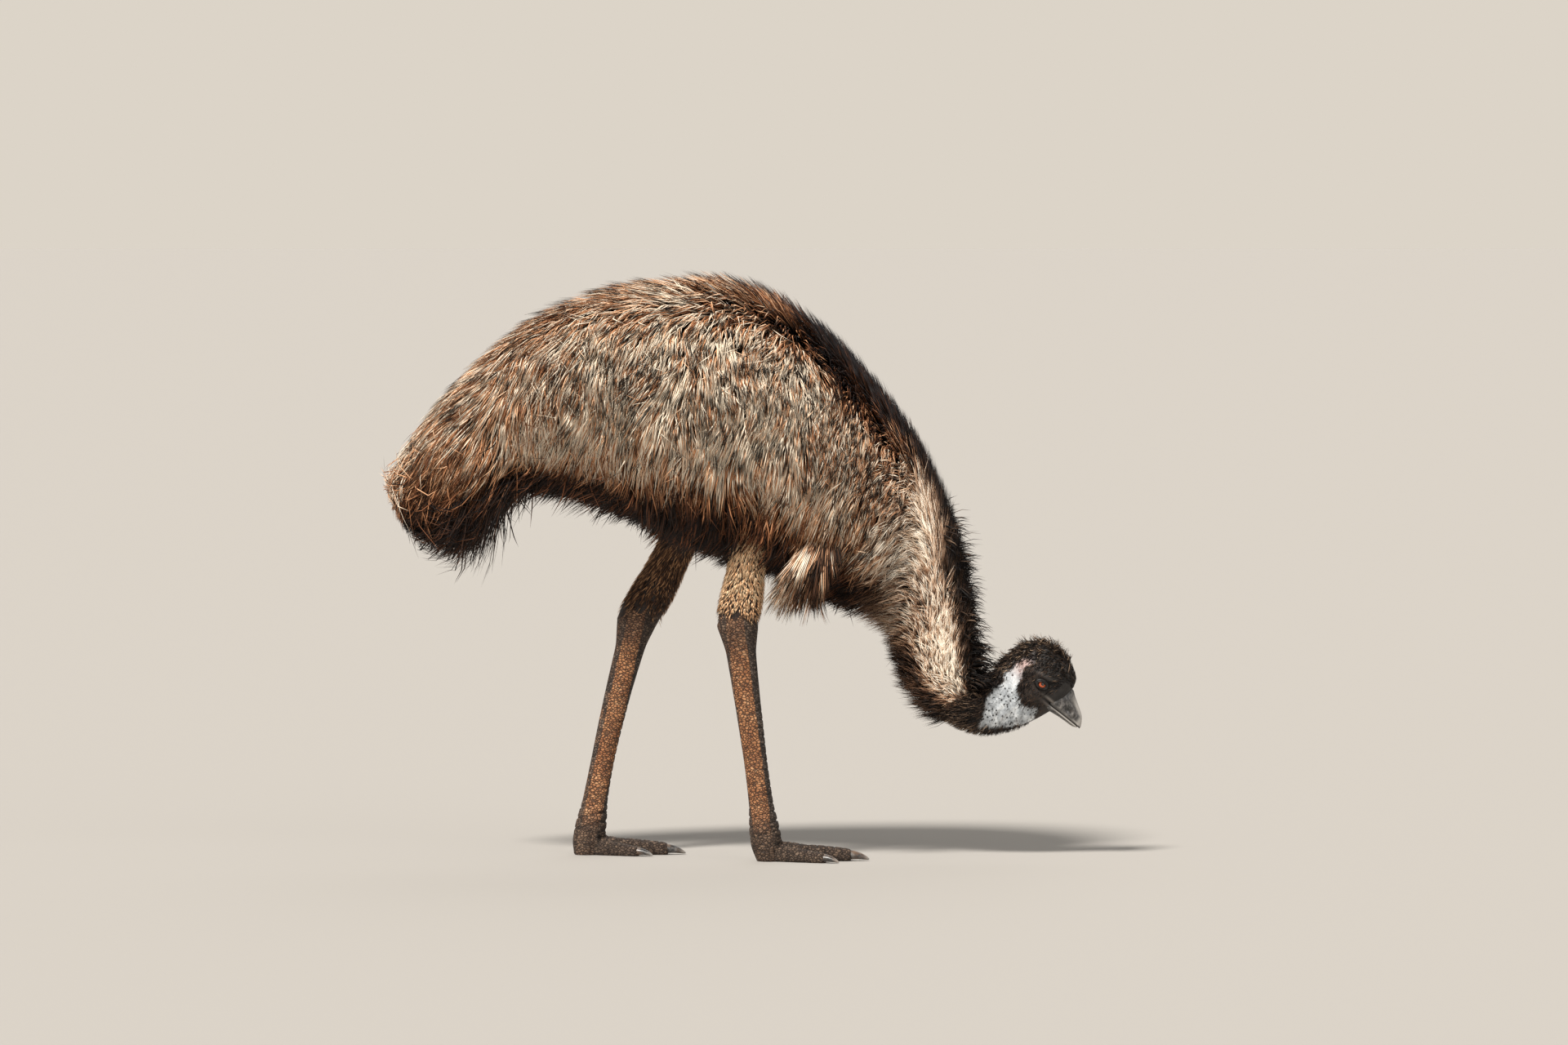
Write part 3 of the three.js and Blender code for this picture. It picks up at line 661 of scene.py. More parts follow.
class Graph:
    """A node tree while it is being made."""

    def __init__(self, tree: bpy.types.NodeTree) -> None:
        """Starts on an empty tree."""
        self.tree = tree
        tree.nodes.clear()

    def feed(self, socket: Socket, value: Feed) -> None:
        """Links a socket to another, or sets its value.

        Args:
            socket: The socket that takes it.
            value: The other socket, or the value.
        """
        if isinstance(value, Socket):
            self.tree.links.new(value, socket)
        else:
            socket.default_value = value

    def node(self, kind: str, feeds: Feeds, **settings: object) -> bpy.types.Node:
        """Adds a node.

        Args:
            kind: Its type.
            feeds: What its inputs take, by name or number.
            settings: Its own settings.

        Returns:
            The node.
        """
        made = self.tree.nodes.new(kind)
        for key, value in settings.items():
            setattr(made, key, value)
        for key, value in feeds.items():
            self.feed(made.inputs[key], value)
        return made

    def math(self, operation: str, a: Feed, b: Feed = 0.0, clamp: bool = False) -> Socket:
        """One sum on two numbers."""
        return self.node("ShaderNodeMath", {0: a, 1: b}, operation=operation, use_clamp=clamp).outputs[0]

    def plus(self, a: Feed, b: Feed, clamp: bool = False) -> Socket:
        """Two numbers added."""
        return self.math("ADD", a, b, clamp)

    def minus(self, a: Feed, b: Feed, clamp: bool = False) -> Socket:
        """One number less another."""
        return self.math("SUBTRACT", a, b, clamp)

    def times(self, a: Feed, b: Feed, clamp: bool = False) -> Socket:
        """Two numbers multiplied."""
        return self.math("MULTIPLY", a, b, clamp)

    def band(self, value: Feed, low: Feed, high: Feed, bottom: float = 0.0, top: float = 1.0) -> Socket:
        """A smooth rise between two values."""
        feeds: Feeds = {0: value, 1: low, 2: high, 3: bottom, 4: top}
        return self.node("ShaderNodeMapRange", feeds, interpolation_type="SMOOTHSTEP").outputs[0]

    def mix(self, share: Feed, a: Feed, b: Feed) -> Socket:
        """A mix of two colours."""
        return self.node("ShaderNodeMix", {0: share, 6: a, 7: b}, data_type="RGBA").outputs[2]

    def ramp(self, value: Feed, stops: Sequence[tuple[float, int, int, int]]) -> Socket:
        """Reads a colour from a ramp.

        Args:
            value: Where to read.
            stops: The place of each stop, and its red, green and blue from 0 to 255.

        Returns:
            The colour.
        """
        made = self.node("ShaderNodeValToRGB", {0: value})
        steps = made.color_ramp.elements
        while len(steps) < len(stops):
            steps.new(0.5)
        for step, (place, *colour) in zip(steps, stops):
            step.position = place
            step.color = tone(*colour)
        return made.outputs[0]

    def noise(self, where: Feed, scale: Feed, detail: float = 3.0, rough: float = 0.55) -> Socket:
        """Smooth noise in space, from 0 to 1."""
        feeds: Feeds = {"Vector": where, "Scale": scale, "Detail": detail, "Roughness": rough}
        return self.node("ShaderNodeTexNoise", feeds).outputs[0]

    def cells(self, where: Feed, scale: Feed, feature: str, output: str) -> Socket:
        """A pattern of cells in space."""
        feeds: Feeds = {"Vector": where, "Scale": scale}
        return self.node("ShaderNodeTexVoronoi", feeds, feature=feature).outputs[output]

    def attribute(self, name: str, output: str) -> Socket:
        """A named value of the mesh."""
        made = self.node("ShaderNodeAttribute", {}, attribute_name=name, attribute_type="GEOMETRY")
        return made.outputs[output]

    def parts(self, vector: Socket) -> list[Socket]:
        """The three numbers of a vector."""
        return list(self.node("ShaderNodeSeparateXYZ", {0: vector}).outputs)

    def three(self, name: str) -> list[Socket]:
        """The three numbers of a named vector of the mesh."""
        return self.parts(self.attribute(name, "Vector"))

    def place(self) -> Socket:
        """Object coordinates."""
        return self.node("ShaderNodeTexCoord", {}).outputs["Object"]

    def stretched(self, where: Feed, scale: Sequence[float]) -> Socket:
        """Coordinates drawn out by a share along each axis."""
        return self.node("ShaderNodeMapping", {"Vector": where, "Scale": scale}).outputs[0]


class EffectGroup:
    """A shared effect as a node group, built once and placed in each material."""

    made: dict[str, bpy.types.NodeTree] = {}

    @classmethod
    def start(cls, name: str, inputs: dict[str, str], outputs: dict[str, str]) -> tuple[Graph, list[Socket]]:
        """Makes the group's tree with its sockets.

        Args:
            name: The group's name.
            inputs: The kind of each input by name.
            outputs: The kind of each output by name.

        Returns:
            The tree, and the sockets that bring the inputs in.
        """
        graph = Graph(bpy.data.node_groups.new(name, "ShaderNodeTree"))
        for way, sockets in (("INPUT", inputs), ("OUTPUT", outputs)):
            for label, kind in sockets.items():
                graph.tree.interface.new_socket(name=label, in_out=way, socket_type=kind)
        cls.made[name] = graph.tree
        return graph, list(graph.node("NodeGroupInput", {}).outputs)[: len(inputs)]

    @classmethod
    def use(cls, graph: Graph, name: str, feeds: Feeds) -> bpy.types.Node:
        """Places a group in a material with its own values."""
        return graph.node("ShaderNodeGroup", feeds, node_tree=cls.made[name])


NUMBER = "NodeSocketFloat"
COLOUR = "NodeSocketColor"
VECTOR = "NodeSocketVector"


class PlumageTones(EffectGroup):
    """The tones of the plumage, alike on skin and coat: painted shade at the roots, tan and cream lengths,
    black tips.
    """

    @classmethod
    def build(cls) -> None:
        """Builds the group."""
        numbers = ("Along", "Strand", "Clump", "Pale", "Dark", "Tips", "Grey")
        inputs = dict.fromkeys(numbers, NUMBER) | {"Place": VECTOR}
        graph, given = cls.start("plumage_tones", inputs, {"Color": COLOUR})
        along, strand, clump, pale, dark, tips, grey, place = given
        drift = graph.times(graph.minus(graph.noise(place, 9.0), 0.5), 0.45)
        spread = graph.times(graph.minus(clump, 0.5), 0.46)
        fine = graph.minus(strand, 0.5)
        level = graph.plus(graph.plus(0.62, spread), graph.plus(fine, drift))
        level = graph.plus(level, graph.times(pale, 0.5))
        level = graph.times(level, graph.minus(1.0, graph.times(dark, 0.68)))
        level = graph.minus(level, graph.times(dark, 0.07), clamp=True)
        stops = [(0.0, 15, 10, 8), (0.2, 46, 28, 18), (0.42, 126, 79, 52)]
        stops += [(0.64, 206, 147, 105), (0.84, 242, 199, 160), (1.0, 249, 234, 212)]
        warm = graph.ramp(level, stops)
        stops = [(0.0, 15, 14, 14), (0.36, 94, 80, 66), (0.7, 196, 178, 155), (1.0, 245, 236, 222)]
        cool = graph.ramp(level, stops)
        length = graph.mix(graph.times(grey, 0.75, clamp=True), warm, cool)
        # Painted shade: each tuft darkens to a dark brown towards its root, where the coat shades itself.
        root = graph.band(graph.plus(along, graph.times(grey, 0.34)), 0.26, 0.58)
        grown = graph.mix(root, tone(22, 14, 9), length)
        share = graph.plus(graph.times(tips, 0.9), -0.1)
        draw = graph.math("FRACT", graph.times(clump, TIP_DRAW))
        chosen = graph.band(draw, graph.plus(share, 0.06), share)
        ended = graph.band(along, 0.66, 0.8)
        black = graph.times(graph.times(chosen, ended), 0.95)
        graph.node("NodeGroupOutput", {"Color": graph.mix(black, grown, tone(15, 14, 17))})


class Grime(EffectGroup):
    """Dust and mud that lighten or stain a surface in patches."""

    @classmethod
    def build(cls) -> None:
        """Builds the group."""
        inputs = {"Color": COLOUR, "Dust": COLOUR, "Place": VECTOR, "Scale": NUMBER, "Amount": NUMBER}
        graph, given = cls.start("grime", inputs, {"Color": COLOUR, "Mask": NUMBER})
        colour, dust, place, scale, amount = given
        broad = graph.noise(place, scale, 5.0, 0.62)
        mask = graph.times(graph.band(broad, 0.42, 0.66), amount, clamp=True)
        graph.node("NodeGroupOutput", {"Color": graph.mix(mask, colour, dust), "Mask": mask})


class Pebbles(EffectGroup):
    """Small rounded scales with dark lines between them, as a height and a mask."""

    @classmethod
    def build(cls) -> None:
        """Builds the group."""
        outputs = dict.fromkeys(("Height", "Line", "Pick"), NUMBER)
        graph, (place, scale) = cls.start("pebbles", {"Place": VECTOR, "Scale": NUMBER}, outputs)
        edge = graph.cells(place, scale, "DISTANCE_TO_EDGE", "Distance")
        dome = graph.band(edge, 0.0, 0.22)
        line = graph.band(edge, 0.17, 0.03)
        pick = graph.parts(graph.cells(place, scale, "F1", "Color"))[0]
        graph.node("NodeGroupOutput", {"Height": dome, "Line": line, "Pick": pick})


class Finish:
    """A finish of the emu: a material on one Principled shader."""

    name = "finish"

    def __init__(self) -> None:
        """Makes the material and its shader."""
        self.material = bpy.data.materials.new(self.name)
        self.material.use_nodes = True
        self.graph = Graph(self.material.node_tree)
        self.shader = self.graph.node("ShaderNodeBsdfPrincipled", {})
        self.graph.node("ShaderNodeOutputMaterial", {"Surface": self.shader.outputs[0]})
        self.dress()

    def put(self, **feeds: Feed) -> None:
        """Feeds the shader's sockets, with underscores for spaces."""
        for key, value in feeds.items():
            self.graph.feed(self.shader.inputs[key.replace("_", " ")], value)

    def bump(self, height: Feed, distance: float, strength: float = 1.0) -> Socket:
        """A bumped normal."""
        feeds: Feeds = {"Strength": strength, "Distance": distance, "Height": height}
        return self.graph.node("ShaderNodeBump", feeds).outputs[0]

    def plumage(self) -> Socket:
        """Reads the plumage's tone from the mesh.

        Returns:
            The colour.
        """
        graph = self.graph
        names = ("Along", "Strand", "Clump", "Pale", "Dark", "Tips")
        feeds: Feeds = dict(zip(names, graph.three("growth") + graph.three("marks")))
        feeds |= {"Grey": graph.attribute("grey", "Fac"), "Place": graph.place()}
        return EffectGroup.use(graph, "plumage_tones", feeds).outputs[0]

    def dusty(self, colour: Feed, dust: Feed, scale: float, amount: Feed) -> list[Socket]:
        """Lays dust over a colour in patches.

        Args:
            colour: The colour.
            dust: The dust's colour.
            scale: How close the patches are.
            amount: How much dust there is.

        Returns:
            The dusty colour, and where the dust lies.
        """
        feeds: Feeds = {"Color": colour, "Dust": dust, "Scale": scale, "Amount": amount}
        return list(EffectGroup.use(self.graph, "grime", feeds | {"Place": self.graph.place()}).outputs)

    def dress(self) -> None:
        """Feeds the shader."""


class FeatherFinish(Finish):
    """The loose feathers of body, neck and wings."""

    name = "feathers"

    def dress(self) -> None:
        """Feeds the shader."""
        graph = self.graph
        along = graph.three("growth")[0]
        self.put(
            Base_Color=self.plumage(), Roughness=graph.band(along, 0.0, 1.0, 0.75, 0.5),
            Specular_IOR_Level=0.16,
        )


class BristleFinish(Finish):
    """The dark stiff bristles of head, nape and upper neck."""

    name = "bristles"

    def dress(self) -> None:
        """Feeds the shader."""
        graph = self.graph
        along, strand, clump = graph.three("growth")
        pale = graph.three("marks")[0]
        level = graph.plus(graph.times(strand, 0.6), graph.times(clump, 0.2))
        level = graph.plus(level, graph.times(pale, 0.5), clamp=True)
        stops = [(0.0, 6, 5, 4), (0.5, 17, 12, 10), (0.74, 78, 59, 46), (1.0, 186, 158, 132)]
        made = graph.mix(graph.band(along, 0.7, 1.0, 0.0, 0.8), graph.ramp(level, stops), tone(12, 10, 10))
        self.put(Base_Color=made, Roughness=graph.band(strand, 0.0, 1.0, 0.5, 0.7), Specular_IOR_Level=0.25)


class DownFinish(Finish):
    """The short buff down of the drumsticks with its black specks."""

    name = "spotted_down"

    def dress(self) -> None:
        """Feeds the shader."""
        graph = self.graph
        along, strand, clump = graph.three("growth")
        pale, dark, tips = graph.three("marks")
        level = graph.plus(graph.times(strand, 0.45), graph.times(pale, 0.55))
        stops = [(0.0, 44, 30, 22), (0.3, 104, 72, 50), (0.55, 240, 185, 136), (1.0, 255, 230, 192)]
        buff = graph.ramp(level, stops)
        # The dark mark adds black specks; on the drumsticks it carries painted shade on the inner side and the
        # top.
        low = graph.minus(0.98, graph.times(dark, 0.55))
        speck = graph.band(clump, low, graph.plus(low, 0.04))
        grown = graph.mix(graph.band(along, 0.1, 0.5), tone(96, 66, 44), buff)
        made = graph.mix(graph.times(speck, 0.92), grown, tone(24, 17, 13))
        made = graph.mix(graph.times(tips, graph.band(along, 0.5, 0.95)), made, tone(60, 40, 27))
        self.put(Base_Color=made, Roughness=graph.band(strand, 0.0, 1.0, 0.62, 0.8), Specular_IOR_Level=0.3)


class SkinFinish(Finish):
    """The skin under the coat, darkened as painted shade, and the bluish bare skin of the upper neck with its
    black specks.
    """

    name = "skin"

    def dress(self) -> None:
        """Feeds the shader."""
        graph = self.graph
        place = graph.place()
        bare, pink, face = graph.three("bareness")
        # Painted shade: the skin under the coat takes the plumage's tones, darkened towards dark brown as if
        # deep in the coat's shade.
        under = graph.mix(0.62, self.plumage(), tone(30, 22, 17))
        blotch = graph.noise(place, 70.0, 5.0, 0.6)
        stops = [(0.3, 128, 132, 137), (0.5, 188, 193, 197), (0.7, 230, 233, 235)]
        blue = graph.ramp(blotch, stops)
        fold = graph.noise(graph.stretched(place, (1.0, 1.0, 0.35)), 130.0, 4.0, 0.55)
        blue = graph.mix(graph.band(fold, 0.56, 0.72, 0.0, 0.3), blue, tone(104, 112, 120))
        grain = graph.band(graph.noise(place, 290.0, 3.0, 0.7), 0.5, 0.68, 0.0, 0.45)
        blue = graph.mix(grain, blue, tone(96, 100, 104))
        speck = graph.cells(place, 175.0, "F1", "Distance")
        specks = graph.times(graph.band(speck, 0.36, 0.28), graph.band(graph.noise(place, 95.0), 0.44, 0.5))
        blue = graph.mix(graph.times(specks, 0.92), blue, tone(20, 20, 23))
        blue = graph.mix(graph.times(pink, 0.8), blue, tone(178, 140, 130))
        dark = graph.ramp(blotch, [(0.3, 18, 16, 15), (0.7, 50, 45, 42)])
        groove, lip, _ = graph.three("gape")
        dark = graph.mix(graph.times(lip, 0.75), dark, tone(134, 126, 119))
        # Painted shade: the groove of the gape is near black.
        dark = graph.mix(groove, dark, tone(8, 7, 7))
        made = graph.mix(face, under, dark)
        made = graph.mix(bare, made, blue)
        wrinkle = graph.plus(graph.times(fold, 0.6), graph.noise(place, 420.0, 3.0))
        self.put(
            Base_Color=made, Roughness=graph.band(blotch, 0.3, 0.7, 0.5, 0.68),
            Normal=self.bump(wrinkle, 0.0012, 0.5), Specular_IOR_Level=0.4,
        )


class ScalyFinish(Finish):
    """The muddy orange brown scales of shanks and toes."""

    name = "scaly_skin"

    def dress(self) -> None:
        """Feeds the shader."""
        graph = self.graph
        place = graph.place()
        scute, rear, foot_and_shade = graph.three("scales")
        flat = graph.stretched(place, (1.0, 1.0, 1.5))
        pebbles = EffectGroup.use(graph, "pebbles", {"Place": flat, "Scale": 165.0})
        height, line, pick = pebbles.outputs[:3]
        stops = [(0.0, 84, 56, 38), (0.4, 134, 88, 58), (0.72, 180, 127, 86), (1.0, 212, 170, 130)]
        level = graph.plus(graph.times(pick, 0.6), graph.noise(place, 26.0, 4.0, 0.6))
        base = graph.ramp(graph.times(level, 0.72), stops)
        grey = graph.ramp(pick, [(0.0, 44, 36, 31), (1.0, 104, 90, 80)])
        patch = graph.noise(place, 34.0, 5.0, 0.65)
        side = graph.plus(rear, graph.minus(patch, 0.5))
        dust, mask = self.dusty(base, tone(152, 96, 60), 15.0, 0.5)
        made = graph.mix(graph.band(side, 0.4, 0.8), dust, grey)
        # The feet's grey brown, and painted shade in a ring below the ankle's down.
        foot_and_shade_tone = graph.ramp(pick, [(0.0, 58, 45, 37), (1.0, 112, 92, 76)])
        made = graph.mix(graph.times(foot_and_shade, 0.92), made, foot_and_shade_tone)
        made = graph.mix(graph.times(line, 0.85), made, tone(34, 24, 18))
        made = graph.mix(graph.times(scute, 0.85), made, tone(30, 23, 19))
        rough = graph.plus(0.62, graph.times(mask, 0.3))
        wrinkles = graph.noise(graph.stretched(place, (1.0, 1.0, 2.8)), 110.0, 4.0, 0.6)
        relief = graph.plus(graph.times(height, 0.6), graph.times(foot_and_shade, wrinkles))
        self.put(
            Base_Color=made, Roughness=rough, Normal=self.bump(relief, 0.003, 0.9),
            Specular_IOR_Level=0.35,
        )


class HornFinish(Finish):
    """The grey black horn of bill and claws: painted highlights on the bill's ridge, edge and tip, worn paler
    claw tips, and painted shade in the nostril and between the bill's halves.
    """

    name = "horn"

    def dress(self) -> None:
        """Feeds the shader."""
        graph = self.graph
        place = graph.place()
        highlight_and_wear, crease, claw = graph.three("horn")
        streaks = graph.noise(graph.stretched(place, (1.0, 3.0, 1.0)), 120.0, 5.0, 0.6)
        base = graph.ramp(streaks, [(0.3, 20, 20, 21), (0.5, 50, 49, 49), (0.72, 120, 117, 114)])
        # Painted highlights on the bill, and real wear on the claws' tips, lighten the horn.
        made = graph.mix(graph.times(highlight_and_wear, 0.9), base, tone(196, 191, 184))
        # Painted shade: near black in the nostril and in the gap between the bill's halves.
        made = graph.mix(crease, made, tone(9, 8, 8))
        self.put(
            Base_Color=self.dusty(made, tone(128, 100, 78), 60.0, claw)[0],
            Roughness=graph.plus(graph.band(streaks, 0.3, 0.7, 0.2, 0.34), graph.times(claw, 0.3)),
            Normal=self.bump(streaks, 0.0006, 0.5), Coat_Weight=0.3, Coat_Roughness=0.22,
        )


class EyeFinish(Finish):
    """The wet eye: black pupil, orange red iris, dark rim."""

    name = "iris"

    def dress(self) -> None:
        """Feeds the shader."""
        graph = self.graph
        out, turn, _ = graph.three("ring")
        rays = graph.noise(graph.node("ShaderNodeCombineXYZ", {0: turn, 1: out}).outputs[0], 7.0, 4.0, 0.7)
        iris = graph.ramp(rays, [(0.25, 112, 34, 10), (0.5, 176, 72, 26), (0.75, 206, 110, 46)])
        made = graph.mix(graph.band(out, 0.27, 0.23), iris, tone(4, 3, 3))
        made = graph.mix(graph.band(out, 0.5, 0.6), made, tone(18, 10, 8))
        self.put(Base_Color=made, Roughness=0.14, Specular_IOR_Level=0.6)
        self.put(Coat_Weight=1.0, Coat_Roughness=0.03)


class LidFinish(Finish):
    """The dark wrinkled skin of lids, lores and gape."""

    name = "lid_skin"

    def dress(self) -> None:
        """Feeds the shader."""
        graph = self.graph
        place = graph.place()
        fine = graph.noise(place, 300.0, 4.0, 0.6)
        made = graph.ramp(fine, [(0.3, 9, 8, 8), (0.7, 34, 30, 29)])
        self.put(
            Base_Color=made, Roughness=graph.band(fine, 0.3, 0.7, 0.4, 0.6),
            Normal=self.bump(fine, 0.0008, 0.7), Specular_IOR_Level=0.3,
        )


class FloorFinish(Finish):
    """The plain pale floor."""

    name = "floor"

    def dress(self) -> None:
        """Feeds the shader."""
        self.put(Base_Color=tone(171, 167, 162), Roughness=0.95, Specular_IOR_Level=0.1)


@dataclass
class Finishes:
    """All the finishes, made once."""

    feathers: Material
    bristles: Material
    down: Material
    skin: Material
    scales: Material
    horn: Material
    iris: Material
    lid: Material
    floor: Material

    @classmethod
    def build(cls) -> "Finishes":
        """Builds the shared groups and every finish.

        Returns:
            The finishes.
        """
        for group in (PlumageTones, Grime, Pebbles):
            group.build()
        soft = (FeatherFinish, BristleFinish, DownFinish, SkinFinish, ScalyFinish)
        return cls(*(kind().material for kind in (*soft, HornFinish, EyeFinish, LidFinish, FloorFinish)))


@dataclass(frozen=True)
class Limb:
    """One leg: its joints, and its tables of sections from knee to ankle and ankle to sole."""

    side: Side
    knee: tuple[float, float, float]
    ankle: tuple[float, float, float]
    sole: tuple[float, float, float]
    bow: float
    # Share of the way, half depth fore and aft, half width.
    drumstick: Rows = (
        (0, 50, 34), (0.25, 46, 38), (0.5, 36, 36), (0.65, 34, 32), (0.85, 39, 33), (0.94, 39, 34),
        (1, 37, 33),
    )
    shank: Rows = (
        (0, 36.5, 33), (0.04, 33, 31), (0.11, 27, 25), (0.2, 25, 21), (0.37, 22.5, 19), (0.6, 20.5, 18.5),
        (0.78, 22, 21), (0.87, 26, 27), (0.94, 27, 28), (1, 21, 22),
    )

    def section(self, upper: bool, share: Array, angle: Array, inset: float = 0.0) -> Array:
        """Points on a level section of the leg.

        Args:
            upper: Whether the drumstick is meant, or the shank.
            share: The share of the way down.
            angle: The angle from the front.
            inset: How far the points lie inside the outline.

        Returns:
            The points.
        """
        start, end = (self.knee, self.ankle) if upper else (self.ankle, self.sole)
        table = np.array(self.drumstick if upper else self.shank)
        axis = np.subtract(end, start) * MM
        slant = np.linalg.norm(axis) / abs(axis[2])
        rows = np.interp(share, table[:, 0], np.arange(len(table)))
        sizes = read_table(table, rows) * MM
        made = np.array(start) * MM + share[:, None] * axis
        made[:, 0] += (sizes[:, 1] * slant - inset) * np.cos(angle)
        made[:, 1] += (sizes[:, 2] - inset) * np.sin(angle)
        if not upper:
            made[:, 0] += self.bow * MM * np.sin(math.pi * share)
        return made

    def down_shank(self, points: Array) -> Array:
        """The share of the way from ankle to sole at each point."""
        return capped((self.ankle[2] * MM - points[:, 2]) / (self.ankle[2] * MM))


@dataclass(frozen=True)
class Toe:
    """One toe: its turn from straight ahead, length to the claw, half width, height and claw length."""

    name: str
    turn: float
    length: float
    half_width: float
    height: float
    claw: float
    start: float = 10.0
    narrowing: float = 0.22
    lowering: float = 0.4
    plates: int = 9

    def axes(self, limb: Limb) -> tuple[Array, Array, Array]:
        """Places the toe under its leg.

        Args:
            limb: The leg it grows from.

        Returns:
            The way ahead, the way across, and the root on the floor.
        """
        ahead = np.array([math.cos(self.turn), limb.side.value * math.sin(self.turn), 0.0])
        across = np.array([-ahead[1], ahead[0], 0.0])
        return ahead, across, np.array([limb.sole[0], limb.sole[1], 0.0]) * MM + ahead * self.start * MM


LIMBS = {
    Side.RIGHT: Limb(Side.RIGHT, (44, -96, 705), (-2, -92, 412), (52, -75, 0), 0),
    Side.LEFT: Limb(Side.LEFT, (-16, 96, 715), (-176, 92, 412), (-268, 75, 0), -8),
}
TOES = (
    Toe("middle", -0.02, 134, 17, 33, 31), Toe("inner", -0.42, 92, 14, 27, 27),
    Toe("outer", 0.46, 100, 14, 27, 26),
)


@dataclass(frozen=True)
class HeadForms:
    """The forms of the head that the skin carries: sockets, brows, cheeks, ears and folds."""

    eye: tuple[float, float, float] = (527, 21.5, 304)
    brow: tuple[float, float, float] = (531, 29, 318)
    front: tuple[float, float, float] = (576, 12, 290)
    gape_mm: tuple[tuple[float, float], tuple[float, float]] = ((560, 255), (514, 293))
    ear: tuple[float, float, float] = (507, 35, 340)
    cheek: tuple[float, float, float] = (512, 33, 285)
    lores: tuple[float, float, float] = (556, 26, 303)
    jaw: tuple[float, float, float] = (500, 33, 262)

    def shape(self, points: Array, normals: Array) -> Array:
        """Presses and swells the skin of the head.

        Args:
            points: The skin's vertices.
            normals: Their normals.

        Returns:
            The moved vertices.
        """
        moves = (
            (self.eye, (15, 12, 13), -7.0, 0.0), (self.brow, (19, 12, 5.5), 4.6, 0.5),
            (self.front, (12, 16, 13), -2.5, 0.9), (self.ear, (6, 8, 4.2), -4.5, 0.5),
            ((self.ear[0] - 7, self.ear[1], self.ear[2] - 2), (4, 9, 7), 1.6, 0.2),
            (self.cheek, (20, 14, 10), 2.4, 0.6), (self.lores, (14, 12, 7), -2.6, 0.8),
            (self.jaw, (26, 14, 5), -1.6, 0.55), ((490, 33, 300), (5, 12, 26), -1.5, -0.3),
        )
        made = points + normals * self.gape(points)[0][:, None]
        for centre, reach, height, tilt in moves:
            for side in Side:
                off = (points - on_side(centre, side)) / MM
                ahead = off[:, 0] * math.cos(tilt) - off[:, 2] * math.sin(tilt)
                above = off[:, 0] * math.sin(tilt) + off[:, 2] * math.cos(tilt)
                far = (ahead / reach[0]) ** 2 + (off[:, 1] / reach[1]) ** 2 + (above / reach[2]) ** 2
                made += normals * (height * MM * np.exp(-1.4 * far))[:, None]
        return made

    def gape(self, points: Array) -> tuple[Array, Array]:
        """Draws the line of the mouth on the cheek.

        Args:
            points: Places on the head.

        Returns:
            How far the skin moves out, and its groove, painted as shade, its lips and nothing, in three.
        """
        front, back = (np.array(end) * MM for end in self.gape_mm)
        way = (back - front) / np.linalg.norm(back - front)
        off = points[:, [0, 2]] - front
        run = off @ way
        above = off @ np.array([way[1], -way[0]])
        on = ease(run, -0.012, -0.004) * ease(run, np.linalg.norm(back - front) + 0.003, 0.03)
        on = on * ease(np.abs(points[:, 1]), 0.006, 0.012)
        groove = np.exp(-((above / 0.0018) ** 2))
        lips = np.exp(-(((above - 0.0048) / 0.0024) ** 2)) + np.exp(-(((above + 0.0046) / 0.0022) ** 2))
        marks = np.stack([on * np.exp(-((above / 0.0026) ** 2)), on * lips, 0 * on], axis=-1)
        return on * (0.0012 * lips - 0.0028 * groove), marks

    def folds(self, points: Array, bare: Array) -> Array:
        """Lays the bare skin in folds.

        Args:
            points: Places on the neck.
            bare: How bare each is.

        Returns:
            How far each moves out.
        """
        across = points @ np.array([0.75, 0.0, -0.66])
        wander = Ripple(0.06, 21).at(points) * 0.006
        return bare * 0.0005 * np.sin((across + wander) / 0.0075 * math.pi)


@dataclass(frozen=True)
class Wing:
    """The small wing that hangs beside the breast: x, y, z, half depth and half thickness along its arm."""

    arm: Rows = (
        (172, 78, 640, 24, 16), (152, 110, 588, 24, 15), (134, 138, 548, 23, 12), (120, 143, 512, 19, 9),
    )
    heading: float = -0.34
    length: float = 104.0
    tufts: int = 1500

    def place(self, side: Side, share: Array, angle: Array, inset: float) -> Array:
        """Puts points on the arm.

        Args:
            side: The wing's side.
            share: Shares of the way down.
            angle: Angles from the front.
            inset: How far the points lie inside.

        Returns:
            The points.
        """
        row = read_table(np.array(self.arm), share * (len(self.arm) - 1)) * MM
        forward = (row[:, 3] - inset) * np.cos(angle)
        out = (row[:, 4] - inset) * np.sin(angle)
        return np.stack([row[:, 0] + forward, side.value * (row[:, 1] + out), row[:, 2]], axis=-1)


